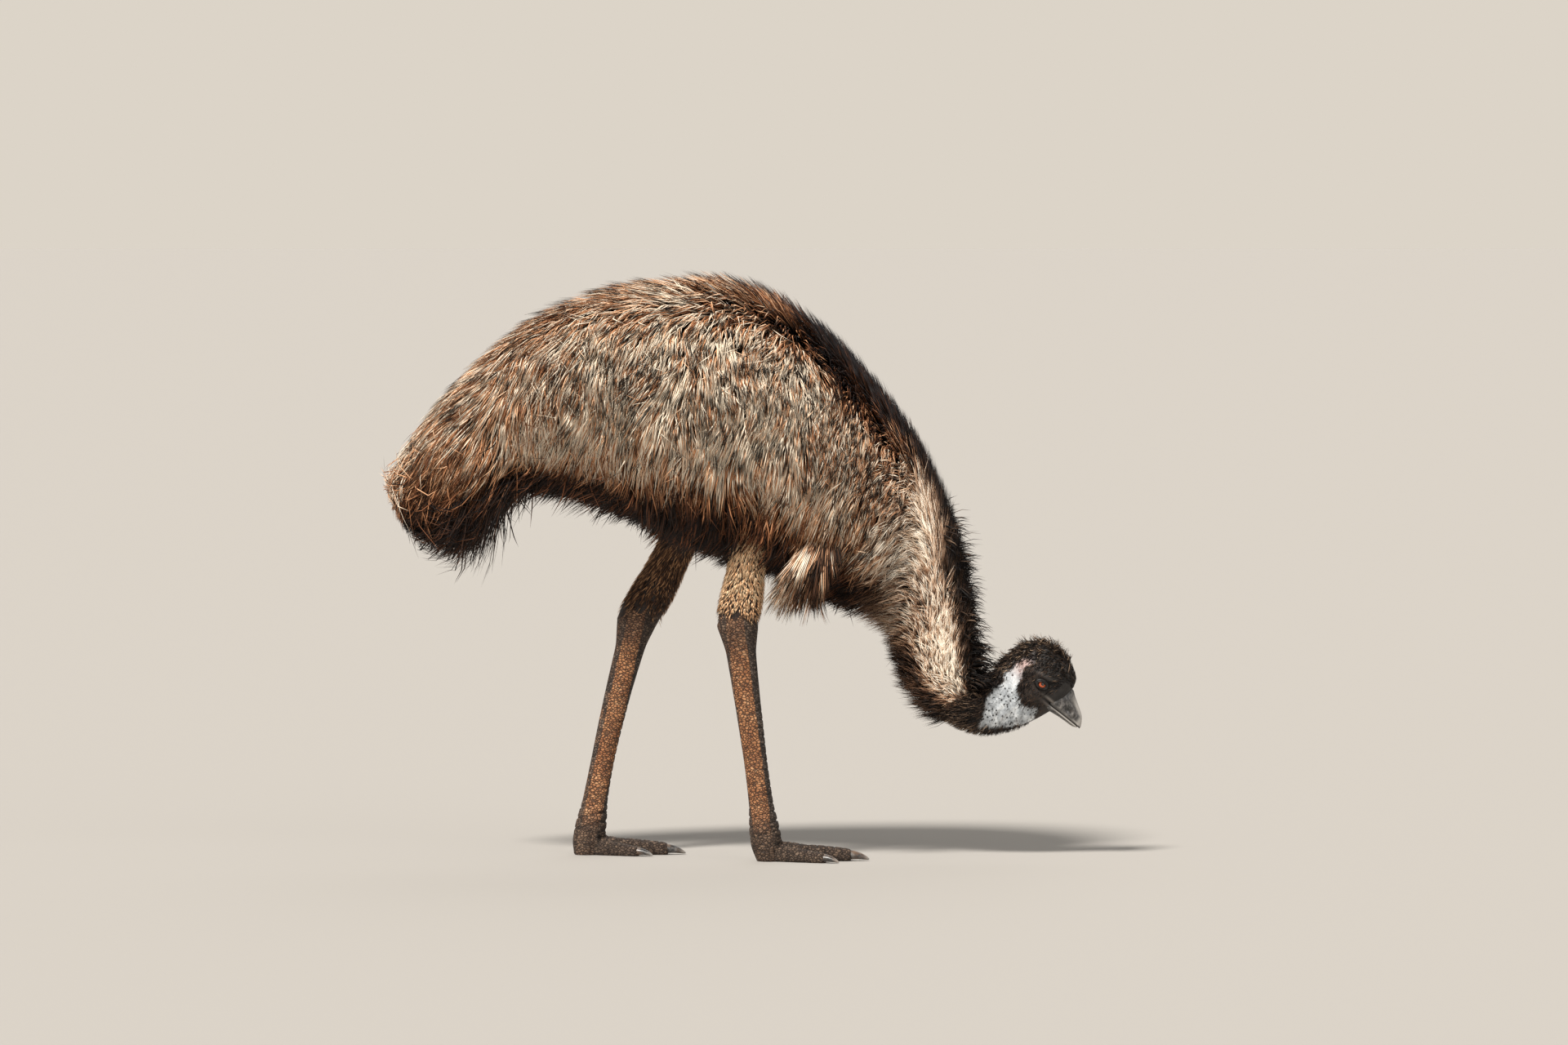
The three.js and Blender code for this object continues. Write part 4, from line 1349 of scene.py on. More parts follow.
@dataclass
class Skin:
    """One skin over all the flesh: trunk, neck, head, wings' arms, drumsticks, shanks and toes."""

    trunk: Trunk
    marks: Markings
    forms: HeadForms
    wing: Wing
    columns: int = 128
    voxel: float = 0.0027
    down_depth: float = 0.004
    leg_inset: float = 0.0006
    scute_height: float = 0.0015

    def trunk_shell(self) -> Piece:
        """Builds the trunk from the tail's core to the forehead, finest on the head.

        Returns:
            The trunk's shell.
        """
        ladder = np.linspace(self.trunk.tail_core, self.trunk.forehead, 2000)
        middles = self.trunk.rung(ladder).centre
        steps = np.linalg.norm(np.diff(middles, axis=0), axis=1)
        pace = np.interp(ladder[:-1], [1, 15, 19, 21.5], [0.0115, 0.0095, 0.0034, 0.0017])
        count = np.concatenate([[0], np.cumsum(steps / pace)])
        rows = int(count[-1])
        cap = 6
        regular = np.interp(np.linspace(0, count[-1], rows + 1), count, ladder)
        rungs = np.concatenate([np.full(cap, regular[0]), regular, np.full(cap, regular[-1])])
        round_in = np.cos(np.linspace(math.pi / 2, 0, cap + 1)[:-1])
        shrink = np.concatenate([round_in, np.ones(rows + 1), round_in[::-1]])
        push_in = np.sin(np.linspace(math.pi / 2, 0, cap + 1)[:-1])
        push = np.concatenate([-0.022 * push_in, np.zeros(rows + 1), 0.002 * push_in[::-1]])

        def place(row: Array, angle: Array) -> Array:
            """Puts the trunk's points.

            Args:
                row: Their rows.
                angle: Their angles.

            Returns:
                The points.
            """
            u = rungs[row]
            at = self.trunk.rung(u)
            made = self.trunk.point(u, angle, self.trunk.skin_depth(u, angle), at)
            made = at.centre + (made - at.centre) * shrink[row][:, None]
            ahead = np.stack([at.up[:, 2], 0 * u, -at.up[:, 0]], axis=-1)
            return made + ahead * push[row][:, None]

        shell = piece_of(loft(len(rungs) - 1, self.columns, place), "skin")
        points = places_of(shell.data)
        u, angle = self.locate(points)
        head = ease(u, 21.8, 22.8)
        shaped = self.forms.shape(points, normals_of(shell.data))
        points = points + (shaped - points) * head[:, None]
        bare = self.marks.bare(points)
        points = points + normals_of(shell.data) * self.forms.folds(points, bare)[:, None]
        move_to(shell.data, points)
        return shell

    def locate(self, points: Array) -> tuple[Array, Array]:
        """Finds the rungs and angles of points on or near the trunk.

        Args:
            points: The points.

        Returns:
            Their rungs and angles.
        """
        ladder = np.linspace(0.5, self.trunk.forehead, 560)
        rung = self.trunk.rung(ladder)
        ahead = np.stack([rung.up[:, 2], 0 * ladder, -rung.up[:, 0]], axis=-1)
        u = np.empty(len(points))
        for start in range(0, len(points), 4000):
            some = points[start : start + 4000]
            off = some[:, None] - rung.centre[None]
            height = np.abs(dot(off, rung.up[None])) / rung.half_height
            miss = np.abs(dot(off, ahead[None])) + 0.2 * np.maximum(height - 1.0, 0)
            u[start : start + 4000] = ladder[np.argmin(miss, axis=1)]
        at = self.trunk.rung(u)
        off = points - at.centre
        return u, np.arctan2(off[:, 1] / at.half_width, dot(off, at.up) / at.half_height)

    def leg_shell(self, limb: Limb) -> Piece:
        """Builds one leg from inside the flank to the toes' ends, in one surface.

        Args:
            limb: The leg.

        Returns:
            The leg's shell.
        """
        parts = bmesh.new()

        def take(made: BMesh) -> None:
            """Adds a closed form to the leg.

            Args:
                made: The form, which is freed.
            """
            mesh = bpy.data.meshes.new("form")
            made.to_mesh(mesh)
            made.free()
            parts.from_mesh(mesh)
            bpy.data.meshes.remove(mesh)

        def tube(upper: bool, inset: float) -> None:
            """Adds the drumstick or the shank.

            Args:
                upper: Whether it is the drumstick.
                inset: How far it lies inside the outline.
            """
            rows = 60

            def place(row: Array, angle: Array) -> Array:
                """Puts the length's points.

                Args:
                    row: Their rows.
                    angle: Their angles from the front.

                Returns:
                    The points.
                """
                share, ends = along_rows(row, rows)
                made = limb.section(upper, share, angle, inset)
                front, back = (limb.section(upper, share, angle * 0 + turn) for turn in (0, math.pi))
                made[ends] = ((front + back) / 2)[ends]
                return made

            take(loft(rows, 40, place))

        tube(True, self.down_depth)
        tube(False, self.leg_inset)
        for toe in TOES:
            take(self.toe_form(limb, toe))
        shell = piece_of(parts, "leg")
        grown = shell.modifiers.new("one_surface", "REMESH")
        grown.mode = "VOXEL"
        grown.voxel_size = self.voxel
        applied(shell)
        soft = shell.modifiers.new("soft", "SMOOTH")
        soft.factor = 0.5
        soft.iterations = 3
        applied(shell)
        points = places_of(shell.data)
        normals = normals_of(shell.data)
        points = points + normals * (self.scutes(limb, points)[0] * self.scute_height)[:, None]
        points[:, 2] = np.maximum(points[:, 2], 0.0)
        move_to(shell.data, points)
        return shell

    def toe_form(self, limb: Limb, toe: Toe) -> BMesh:
        """Shapes one toe with a flat sole and swollen pads.

        Args:
            limb: The leg.
            toe: The toe.

        Returns:
            The toe's form.
        """
        ahead, across, root = toe.axes(limb)
        rows = 40

        def place(row: Array, angle: Array) -> Array:
            """Puts the toe's points.

            Args:
                row: Their rows.
                angle: Their angles.

            Returns:
                The points.
            """
            share, ends = along_rows(row, rows)
            blunt = np.sqrt(capped(1 - capped((share - 0.9) / 0.16) ** 2))
            wall = np.where(ends, 0.0, 1.0) * blunt
            pads = 1 + 0.05 * np.cos(share * 4 * 2 * math.pi)
            height = toe.height * (1 - toe.lowering * share) * MM
            wide = toe.half_width * (1 - toe.narrowing * share) * pads * MM
            made = root + ahead * (share * toe.length * MM)[:, None]
            made = made + across * (wall * wide * np.sin(angle))[:, None]
            made[:, 2] = np.maximum(0.0, 0.45 * height + wall * 0.6 * height * np.cos(angle))
            return made

        return loft(rows, 28, place)

    def scutes(self, limb: Limb, points: Array) -> tuple[Array, Array]:
        """Lays plates down the shank's front and over the toes.

        Args:
            limb: The leg.
            points: Places on it.

        Returns:
            The plates' height from -1 to 1, and their creases from 0 to 1.
        """
        height = np.zeros(len(points))
        crease = np.zeros(len(points))
        share = limb.down_shank(points)
        middle = np.array(limb.ankle) * MM + share[:, None] * np.subtract(limb.sole, limb.ankle) * MM
        middle[:, 0] += limb.bow * MM * np.sin(math.pi * share)
        front = ease((points[:, 0] - middle[:, 0]) / 0.02, 0.25, 0.75)
        run = ease(share, 0.3, 0.42) * ease(share, 0.97, 0.93) * front
        wave = np.abs(np.sin(points[:, 2] / 0.0145 * math.pi + 0.5 * (points[:, 1] - middle[:, 1]) / 0.02))
        height += run * (np.minimum(wave * 2.2, 1) - 0.5)
        crease += run * ease(wave, 0.26, 0.08)
        off = points[:, :2] - np.array(limb.sole[:2]) * MM
        fold = ease(np.linalg.norm(off, axis=1), 0.042, 0.034)
        fold = fold * ease(points[:, 2], 0.036, 0.046) * ease(points[:, 2], 0.1, 0.08)
        wave = np.abs(np.sin((points[:, 2] - 0.25 * off[:, 0]) / 0.017 * math.pi))
        height += fold * (np.minimum(wave * 2.0, 1) - 0.6) * 1.6
        crease += fold * ease(wave, 0.24, 0.06)
        for toe in TOES:
            ahead, across, root = toe.axes(limb)
            off = points - root
            way = off @ ahead / (toe.length * MM)
            aside = np.abs(off @ across) / (toe.half_width * MM)
            on = ease(way, 0.12, 0.22) * ease(way, 1.05, 0.98) * ease(aside, 1.15, 0.9)
            on = on * ease(points[:, 2], 0.006, 0.013) * ease(points[:, 2], 0.048, 0.036)
            wave = np.abs(np.sin(way * toe.plates * math.pi + 0.6 * aside**2))
            height += on * (np.minimum(wave * 2.2, 1) - 0.5)
            crease += on * ease(wave, 0.3, 0.08)
        return height, capped(crease)

    def arm_shell(self, side: Side) -> Piece:
        """Builds the arm of one wing.

        Args:
            side: The wing's side.

        Returns:
            The arm's shell.
        """
        rows = 24

        def place(row: Array, angle: Array) -> Array:
            """Puts the arm's points.

            Args:
                row: Their rows.
                angle: Their angles.

            Returns:
                The points.
            """
            share, ends = along_rows(row, rows)
            wall = self.wing.place(side, share, angle, 0.003)
            front, back = (self.wing.place(side, share, angle * 0 + turn, 0) for turn in (0, math.pi))
            return wall + ((front + back) / 2 - wall) * np.where(ends, 1.0, 0.0)[:, None]

        return piece_of(loft(rows, 24, place), "arm")

    def build(self, finishes: Finishes) -> None:
        """Builds the whole skin and dresses it.

        Args:
            finishes: The finishes.
        """
        skin = self.trunk_shell()
        shells = [self.leg_shell(limb) for limb in LIMBS.values()] + [self.arm_shell(side) for side in Side]
        for shell in shells:
            union = skin.modifiers.new("union", "BOOLEAN")
            union.operation = "UNION"
            union.solver = "MANIFOLD"
            union.object = shell
        applied(skin)
        for shell in shells:
            bpy.data.meshes.remove(shell.data)
        mesh = skin.data
        mesh.name = "skin"
        mesh.materials.clear()
        for finish in (finishes.skin, finishes.scales):
            mesh.materials.append(finish)
        self.dress(mesh)
        legs = [f"{part}_{side.label}" for side in Side for part in ("drumstick", "shank", "wing")]
        toes = [f"toe_{toe.name}_{side.label}" for side in Side for toe in TOES]
        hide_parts("tail", "torso", "neck_lower", "neck_upper", "head", *legs, *toes)
        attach(skin, "root")
        report(skin)

    def dress(self, mesh: Mesh) -> None:
        """Gives the skin its marks and its two finishes.

        Args:
            mesh: The skin.
        """
        mesh.polygons.foreach_set("use_smooth", np.ones(len(mesh.polygons), bool))
        points = places_of(mesh)
        u, angle = self.locate(points)
        marks = self.marks.read(u, angle, points)
        head = ease(u, 23.0, 24.2)
        bareness = np.stack([self.marks.bare(points), self.marks.pink(points), head], axis=-1)
        legs = points[:, 2] < limb_line(points)
        bareness[legs] = 0
        strand, clump = np.random.default_rng(3).uniform(size=(2, len(points)))
        put_vectors(mesh, "growth", np.stack([0 * strand + 0.5, strand, clump], axis=-1))
        put_marks(mesh, marks)
        put_vectors(mesh, "bareness", bareness)
        put_vectors(mesh, "gape", self.forms.gape(points)[1] * head[:, None])
        scales = np.zeros((len(points), 3))
        for limb in LIMBS.values():
            near = (points[:, 1] * limb.side.value > 0) & legs
            _, crease = self.scutes(limb, points)
            share = limb.down_shank(points)
            middle = limb.ankle[0] * MM + share * (limb.sole[0] - limb.ankle[0]) * MM
            scales[near, 0] = crease[near]
            ahead = points[:, 0] - middle
            strip = ease(ahead, 0.007, 0.016) + 0.7 * ease(ahead, -0.015, -0.021)
            scales[near, 1] = strip[near]
            # The feet take a grey brown; the ring just below the down at the ankle is painted shade.
            foot_and_ankle_shade = ease(points[:, 2], 0.095, 0.04) + 0.7 * ease(points[:, 2], 0.34, 0.4)
            scales[near, 2] = foot_and_ankle_shade[near]
        put_vectors(mesh, "scales", scales)
        centres = vectors_of(mesh.polygons, "center")
        low = (centres[:, 2] < limb_line(centres)).astype(np.int32)
        mesh.polygons.foreach_set("material_index", low)
        mesh.update()


def limb_line(points: Array) -> Array:
    """The height below which a place belongs to a bare leg, or less than nothing where no leg stands."""
    line = 0.425 + 0.006 * np.sin(points[:, 0] * 190) + 0.004 * np.sin(points[:, 1] * 310)
    return np.where(points[:, 0] < 0.2, line, -1.0)


@dataclass(frozen=True)
class Stretch:
    """One length of the coat: its rungs, its clumps, and how their tufts are cut, spread and gathered."""

    name: str
    first: float
    last: float
    clumps: int
    half_width: float
    length_share: float
    stations: int
    spread: float = 0.0065
    pull: float = 0.62


STRETCHES = (
    Stretch("coat_tail", 0.25, 4.15, 1760, 0.00095, 0.76, 5),
    Stretch("coat_rump", 4.15, 6.4, 2400, 0.00115, 0.64, 4),
    Stretch("coat_flank", 6.4, 8.7, 2400, 0.00115, 0.58, 4),
    Stretch("coat_shoulder", 8.7, 11.0, 2400, 0.0011, 0.55, 4),
    Stretch("coat_breast", 11.0, 13.4, 2400, 0.00105, 0.55, 4),
    Stretch("coat_neck", 13.4, 18.9, 3800, 0.0007, 0.46, 3, 0.004, 0.4),
)


@dataclass
class TrunkCoat:
    """The coat of the trunk in named lengths, as clumps of fine tufts that follow its lie."""

    trunk: Trunk
    marks: Markings
    sway: Ripple = Ripple(0.24, 14)
    curl: Ripple = Ripple(0.11, 15)
    root_sink: float = 0.004
    each: int = 5
    rise: float = 1.3

    def roots(self, first: float, last: float, count: int, start: int) -> tuple[Array, Array]:
        """Spreads roots evenly over a length of the trunk.

        Args:
            first: The rung it starts at.
            last: The rung it ends at.
            count: How many roots.
            start: Where the fixed sequence starts.

        Returns:
            Rungs and angles.
        """
        tries = even_points(count * 6, start)
        u = first + (last - first) * tries[:, 0]
        angle = 2 * math.pi * tries[:, 1] - math.pi
        at = self.trunk.surface(u, angle)
        area = np.linalg.norm(np.cross(at.along, at.round), axis=-1)
        # The long feathers near the borders of a length are as close as in its middle.
        kept = tries[:, 2] < area / np.quantile(area, 0.98) * 0.98
        return u[kept][:count], angle[kept][:count]

    def walk(
        self, u: Array, angle: Array, length: Array, turn: Array, bend: Array, stations: int
    ) -> tuple[Array, ...]:
        """Walks over the trunk along the coat's lie.

        Args:
            u: Where each tuft roots, in rungs.
            angle: Its angle from the back.
            length: How far it goes.
            turn: How far it turns aside from the start.
            bend: How far it turns more on its way.
            stations: How many places are kept.

        Returns:
            Rungs, angles and free steps past the tail's end, for each station.
        """
        strides = 3
        steps = (stations - 1) * strides
        free = np.zeros((len(u), 3))
        kept = [(u, angle, free)]
        for step in range(steps):
            at = self.trunk.surface(u, angle)
            share = step / steps
            way = turned(at.lie, at.normal, turn + bend * share) * (length / steps)[:, None]
            aa, ab, bb = dot(at.along, at.along), dot(at.along, at.round), dot(at.round, at.round)
            ca, cb = dot(way, at.along), dot(way, at.round)
            size = aa * bb - ab * ab
            next_u = u + (ca * bb - cb * ab) / size
            inside = next_u > 0.04
            fall = way * 0.36 + np.array([0, 0, -0.1]) * (length / steps)[:, None]
            free = free + np.where(inside[:, None], 0, fall)
            angle = np.where(inside, angle + (cb * aa - ca * ab) / size, angle)
            u = np.where(inside, next_u, u)
            if (step + 1) % strides == 0:
                kept.append((u, angle, free))
        return tuple(np.stack([row[i] for row in kept], axis=1) for i in range(3))

    def laid(
        self, u: Array, angle: Array, free: Array, start: Array, end: Array, rise: float
    ) -> tuple[Array, Array]:
        """Lifts walked tufts from the skin to the outline.

        Args:
            u: Rungs of each station.
            angle: Angles of each station.
            free: Free steps of each station.
            start: How deep each tuft roots.
            end: How deep its tip lies.
            rise: The power of the rise.

        Returns:
            Stations in space and the ways out there.
        """
        count, stations = u.shape
        share = np.linspace(0, 1, stations)[None]
        depth = end[:, None] + (start - end)[:, None] * (1 - share) ** rise
        flat_u, flat_angle = u.ravel(), angle.ravel()
        trim = self.trunk.trim(flat_u, flat_angle) * np.tile(share[0], count)
        points = self.trunk.point(flat_u, flat_angle, depth.ravel() + trim).reshape(count, stations, 3) + free
        normals = self.trunk.surface(flat_u, flat_angle).normal.reshape(count, stations, 3)
        return points, normals

    def clumps(self, stretch: Stretch, seed: int) -> Tufts:
        """Grows clumps of tufts over a length of the trunk.

        Args:
            stretch: The length.
            seed: The seed of its random draws.

        Returns:
            The tufts.
        """
        random = np.random.default_rng(seed)
        stations = stretch.stations
        u, angle = self.roots(stretch.first, stretch.last, stretch.clumps, seed * 977)
        count = len(u)
        at = self.trunk.surface(u, angle)
        points = self.trunk.point(u, angle)
        belly = capped(-at.normal[:, 2])
        side = np.abs(angle)
        length = at.length * stretch.length_share * random.uniform(0.72, 1.12, count)
        turn = 0.16 * self.sway.at(points) + random.normal(0, 0.075, count)
        bend = 0.3 * self.curl.at(points) + random.normal(0, 0.16, count)
        tail = ease(u, 3.4, 1.2)
        wavy = ease(u, 11.6, 12.8)
        under = ease(u, 4.9, 3.6) * ease(side, 1.6, 2.2)
        ragged = capped(0.5 * belly + tail + under) * random.uniform(0, 1, count) ** 2.4
        kind = random.random(count)
        marks = self.marks.read(u, angle, points)
        topped = (kind * TIP_DRAW) % 1 < 0.9 * marks["tips"] - 0.07
        ridge = ease(u, 7.5, 10) * ease(u, 18.8, 17.5) * ease(side, 1.0, 0.3)
        throat = ease(u, 14.8, 15.8) * ease(side, 1.95, 2.5)
        end = random.normal(0.001, 0.003, count) - (0.042 + 0.02 * under) * ragged - 0.0022 * topped
        hem = ease(side, 1.85, 2.15) * ease(side, 2.8, 2.5) * ease(u, 3, 4.5) * ease(u, 12, 10)
        end = end - (0.006 * ridge + 0.014 * throat) * random.uniform(0.1, 1, count)
        end = end - 0.036 * hem * random.random(count) ** 3
        bend = bend + (0.15 + 1.4 * tail + 0.8 * wavy) * random.normal(0, 0.45, count)
        turn = turn + 0.12 * wavy * random.normal(0, 1, count)
        start = self.trunk.skin_depth(u, angle) + self.root_sink
        guides = self.laid(*self.walk(u, angle, length, turn, bend, stations), start, end, self.rise)[0]

        owner = np.repeat(np.arange(count), self.each)
        total = len(owner)
        scale_u = np.linalg.norm(at.along, axis=-1)[owner]
        scale_a = np.linalg.norm(at.round, axis=-1)[owner]
        own_u = np.clip(u[owner] + random.normal(0, stretch.spread, total) / scale_u, 0.1, 27.9)
        own_angle = angle[owner] + random.normal(0, stretch.spread * 0.8, total) / scale_a
        own_length = length[owner] * random.uniform(0.86, 1.1, total)
        own_turn = turn[owner] + random.normal(0, 0.05, total)
        stray = random.random(total) < 0.05 + 0.36 * np.maximum(tail, under)[owner] + 0.1 * hem[owner]
        own_bend = bend[owner] + np.where(stray, random.normal(0, 0.9, total), random.normal(0, 0.12, total))
        loose = 0.005 + (0.012 * hem + 0.04 * np.maximum(tail, under))[owner]
        own_end = end[owner] + random.normal(0, 0.0018, total)
        own_end = own_end - np.where(stray, loose * random.random(total), 0)
        own_start = self.trunk.skin_depth(own_u, own_angle) + self.root_sink
        walked = self.walk(own_u, own_angle, own_length, own_turn, own_bend, stations)
        paths, outs = self.laid(*walked, own_start, own_end, self.rise)
        share = np.linspace(0, 1, stations)[None, :, None]
        draw = stretch.pull * random.uniform(0.7, 1.15, total) * np.where(stray, 0.15, 1)
        paths = paths + (guides[owner] - paths) * capped(draw[:, None, None] * share**1.3)
        profile = np.interp(share[0, :, 0], [0, 0.3, 0.67, 0.85, 1], [0.75, 1.0, 0.96, 0.66, 0.0])
        widths = stretch.half_width * random.uniform(0.75, 1.25, total)[:, None] * profile[None]
        root_points = self.trunk.point(own_u, own_angle)
        return Tufts(
            paths, outs, widths, 0.55, self.trunk.unwrap(own_u, own_angle), random.random(total),
            kind[owner], self.marks.read(own_u, own_angle, root_points),
        )

    def build(self, finishes: Finishes) -> None:
        """Builds the long coat of tail, body and neck.

        Args:
            finishes: The finishes.
        """
        for seed, stretch in enumerate(STRETCHES, 40):
            self.clumps(stretch, seed).build(stretch.name, finishes.feathers, "body_feathers")


@dataclass(frozen=True)
class BristleFile:
    """A file of bristles: where it runs along and beside the top, how many, how long, and how they grow."""

    first: float
    last: float
    clumps: int
    each: int
    seed: int
    spread: float
    length: float
    half_width: float
    lean: float
    droop: float
    curl: float
    pale: float


NAPE_FRINGE = BristleFile(13.8, 19.2, 260, 4, 71, 0.42, 0.056, 0.0016, 0.2, 0.13, 0.04, 0.2)
CREST = BristleFile(19.2, 26.2, 360, 4, 72, 0.6, 0.021, 0.0007, 1.1, 0.04, 0.28, 0.8)


@dataclass
class HeadCoat:
    """The short bristles of head and upper neck, the curls of the crown and the black fringe of the nape."""

    coat: TrunkCoat
    forms: HeadForms
    tufts: int = 7300
    eye_room: float = 0.0175
    ear_room: float = 0.0055

    def short(self) -> Tufts:
        """Grows the short bristles that lie close to the skin.

        Returns:
            The bristles.
        """
        trunk = self.coat.trunk
        random = np.random.default_rng(61)
        u, angle = self.coat.roots(18.7, 27.8, self.tufts, 500)
        points = trunk.point(u, angle)
        at = trunk.surface(u, angle)
        side = np.abs(angle)
        keep = np.ones(len(u), bool)
        for mirrored in Side:
            off = points - on_side(self.forms.eye, mirrored)
            keep &= np.linalg.norm(off * np.array([1, 0.6, 1.15]), axis=1) > self.eye_room
            keep &= np.linalg.norm(points - on_side(self.forms.ear, mirrored), axis=1) > self.ear_room
        bill = points @ np.array([0.78, 0.0, -0.62])
        keep &= ~((bill > 0.250) & (side > 1.05) & (points[:, 2] < 0.306))
        for reach in (0.0, 0.004, 0.008):
            keep &= self.forms.gape(points + at.lie * reach)[1].max(axis=1) < 0.45
        under = ease(side, 2.4, 2.75) * ease(u, 24.5, 23.5)
        u = u + random.normal(0, 0.08, len(u)) * (u < 27.5)
        angle = angle + random.normal(0, 0.05, len(u))
        bare = self.coat.marks.bare(points)
        keep &= (bare < 0.35) | (random.random(len(u)) < 0.12)
        u, angle, points, side, bare, under = (value[keep] for value in (u, angle, points, side, bare, under))
        at = trunk.surface(u, angle)
        crown = ease(side, 1.0, 0.3) * ease(u, 21.5, 23) * ease(u, 26.6, 25.0)
        length = 0.0085 + 0.009 * ease(u, 21.5, 19.2) + 0.006 * crown + 0.004 * ease(side, 1.6, 0.6)
        length = length * np.where(u > 26, 0.6, 1.0) * (1 - 0.4 * under) * random.uniform(0.7, 1.3, len(u))
        length = length * np.where(bare > 0.3, 0.4, 1)
        turn = 0.35 * self.coat.curl.at(points) + random.normal(0, 0.16, len(u))
        bend = random.normal(0, 0.6, len(u))
        start = trunk.skin_depth(u, angle) + 0.0015
        end = random.normal(-0.0008, 0.0011, len(u)) - 0.003 * crown * random.random(len(u)) + 0.0012 * under
        end = np.clip(end, -0.007, 0.0018)
        paths, outs = self.coat.laid(*self.coat.walk(u, angle, length, turn, bend, 4), start, end, 1.2)
        profile = np.array([0.9, 1.0, 0.65, 0.0])
        widths = np.where(bare > 0.3, 0.00026, 0.00056) * random.uniform(0.7, 1.3, len(u))
        marks = self.coat.marks.read(u, angle, points)
        throat = ease(side, 1.9, 2.7) * ease(u, 21.5, 20.3)
        marks["pale"] = 0.1 + 0.4 * throat + 0.25 * ease(u, 20.5, 19) + 0.1 * crown
        strand, clump = random.random(len(u)), random.random(len(u))
        return Tufts(paths, outs, widths[:, None] * profile, 0.8, trunk.unwrap(u, angle), strand, clump, marks)

    def file(self, file: BristleFile) -> Tufts:
        """Grows a file of stiff bristles that stand out from the top of neck or head.

        Args:
            file: Where it runs and how its bristles grow.

        Returns:
            The bristles.
        """
        trunk = self.coat.trunk
        random = np.random.default_rng(file.seed)
        total = file.clumps * file.each
        owner = np.repeat(np.arange(file.clumps), file.each)
        middle = file.first + (file.last - file.first) * random.uniform(0, 1, file.clumps)
        u = middle[owner] + random.normal(0, 0.05, total)
        angle = np.clip(random.normal(0, file.spread, file.clumps), -1.1, 1.1)[owner]
        angle = angle + random.normal(0, 0.07, total)
        at = trunk.surface(u, angle)
        way = at.normal + (file.lean + random.normal(0, 0.22, file.clumps))[owner][:, None] * at.lie
        way = unit(way + random.normal(0, 0.24, (file.clumps, 3))[owner] + random.normal(0, 0.07, (total, 3)))
        curl = random.normal(0, file.curl, (file.clumps, 3))[owner]
        curl = curl + random.normal(0, 0.3 * file.curl, (total, 3))
        length = file.length * random.uniform(0.55, 1.15, file.clumps)[owner]
        length = length * random.uniform(0.8, 1.1, total)
        spot = trunk.point(u, angle, trunk.skin_depth(u, angle) + 0.002)
        stations = 5
        paths = [spot]
        for step in range(1, stations):
            spot = spot + way * (length / (stations - 1))[:, None]
            paths.append(spot)
            way = unit(way + curl + np.array([0.0, 0.0, -file.droop]) * step)
        profile = np.array([0.8, 1.0, 0.9, 0.6, 0.0])
        widths = file.half_width * random.uniform(0.7, 1.2, total)[:, None] * profile
        marks = self.coat.marks.read(u, angle, trunk.point(u, angle))
        marks["pale"] = file.pale * random.random(total)
        outs = np.repeat(unit(at.lie + 0.01)[:, None], stations, axis=1)
        return Tufts(
            np.stack(paths, axis=1), outs, widths, 0.8, trunk.unwrap(u, angle), random.random(total),
            random.random(file.clumps)[owner], marks,
        )

    def build(self, finishes: Finishes) -> None:
        """Builds the bristles.

        Args:
            finishes: The finishes.
        """
        pieces = {"coat_head": self.short(), "nape_fringe": self.file(NAPE_FRINGE), "crest": self.file(CREST)}
        for name, tufts in pieces.items():
            tufts.build(name, finishes.bristles, "neck_bristles")


@dataclass
class DrumstickCoat:
    """The short spotted down of one drumstick, down to the bare ankle."""

    limb: Limb
    depth: float
    count: int = 5600

    def build(self, finishes: Finishes) -> None:
        """Builds the down.

        Args:
            finishes: The finishes.
        """
        random = np.random.default_rng(80 + self.limb.side.value)
        spots = even_points(self.count, 90)
        share = 0.08 + 0.95 * capped(spots[:, 0] + random.normal(0, 0.012, self.count))
        angle = 2 * math.pi * spots[:, 1] + random.normal(0, 0.12, self.count)
        border = 0.975 + 0.04 * np.cos(angle - 0.7) + 0.02 * np.sin(5 * angle)
        border = border + random.normal(0, 0.015, self.count)
        share = np.where(share > border - 0.03, 0.1 + 0.8 * random.random(self.count), share)
        stations = np.array([0.0, 0.4, 1.0])
        ankle = ease(share, 0.86, 1.0)
        length = (0.022 - 0.010 * ease(share, 0.3, 0.95)) * random.uniform(0.7, 1.25, self.count)
        reach = length / 0.33
        rise = self.depth + 0.002
        lift = random.normal(0.0004, 0.0009, self.count) * (1 - 0.6 * ankle)
        paths = []
        for at in stations:
            down = np.clip(share + reach * at, 0, 1.09)
            wander = angle + random.normal(0, 0.05, self.count) * at
            inside = rise * (1 - at) ** 1.3 - lift * at
            base = self.limb.section(True, np.minimum(down, 1.0), wander, 0.0)
            base[:, 2] -= np.maximum(down - 1.0, 0) * 0.33
            out = np.stack([np.cos(wander), np.sin(wander), 0 * wander], axis=-1)
            paths.append(base - out * inside[:, None])
        outs = np.stack([np.cos(angle), np.sin(angle), 0 * angle], axis=-1)
        clump = random.random(self.count)
        # Painted shade: the inner side loses its buff and gains specks, and the top darkens where the belly
        # shades it.
        inner = ease(np.sin(angle) * self.limb.side.value, 0.3, -0.3)
        marks = {
            "pale": 0.72 + 0.28 * ease(share, 0.98, 0.75) - 0.95 * inner,
            "dark": 0.05 + 0.3 * ease(share, 0.5, 0.2) + 0.2 * inner, "grey": 0 * share,
            "tips": 0.05 + 0.55 * ease(share, 0.84, 1.0),
        }
        marks = {name: capped(mark) for name, mark in marks.items()}
        tufts = Tufts(
            np.stack(paths, axis=1), np.repeat(outs[:, None], 3, axis=1),
            0.00095 * random.uniform(0.7, 1.3, self.count)[:, None] * np.array([0.8, 1.0, 0.0]), 0.6,
            np.stack([(angle / (2 * math.pi)) % 1, 0.02 + 0.9 * spots[:, 0]], axis=-1),
            random.random(self.count), clump, marks,
        )
        tufts.build(f"down_{self.limb.side.label}", finishes.down, "spotted_down")


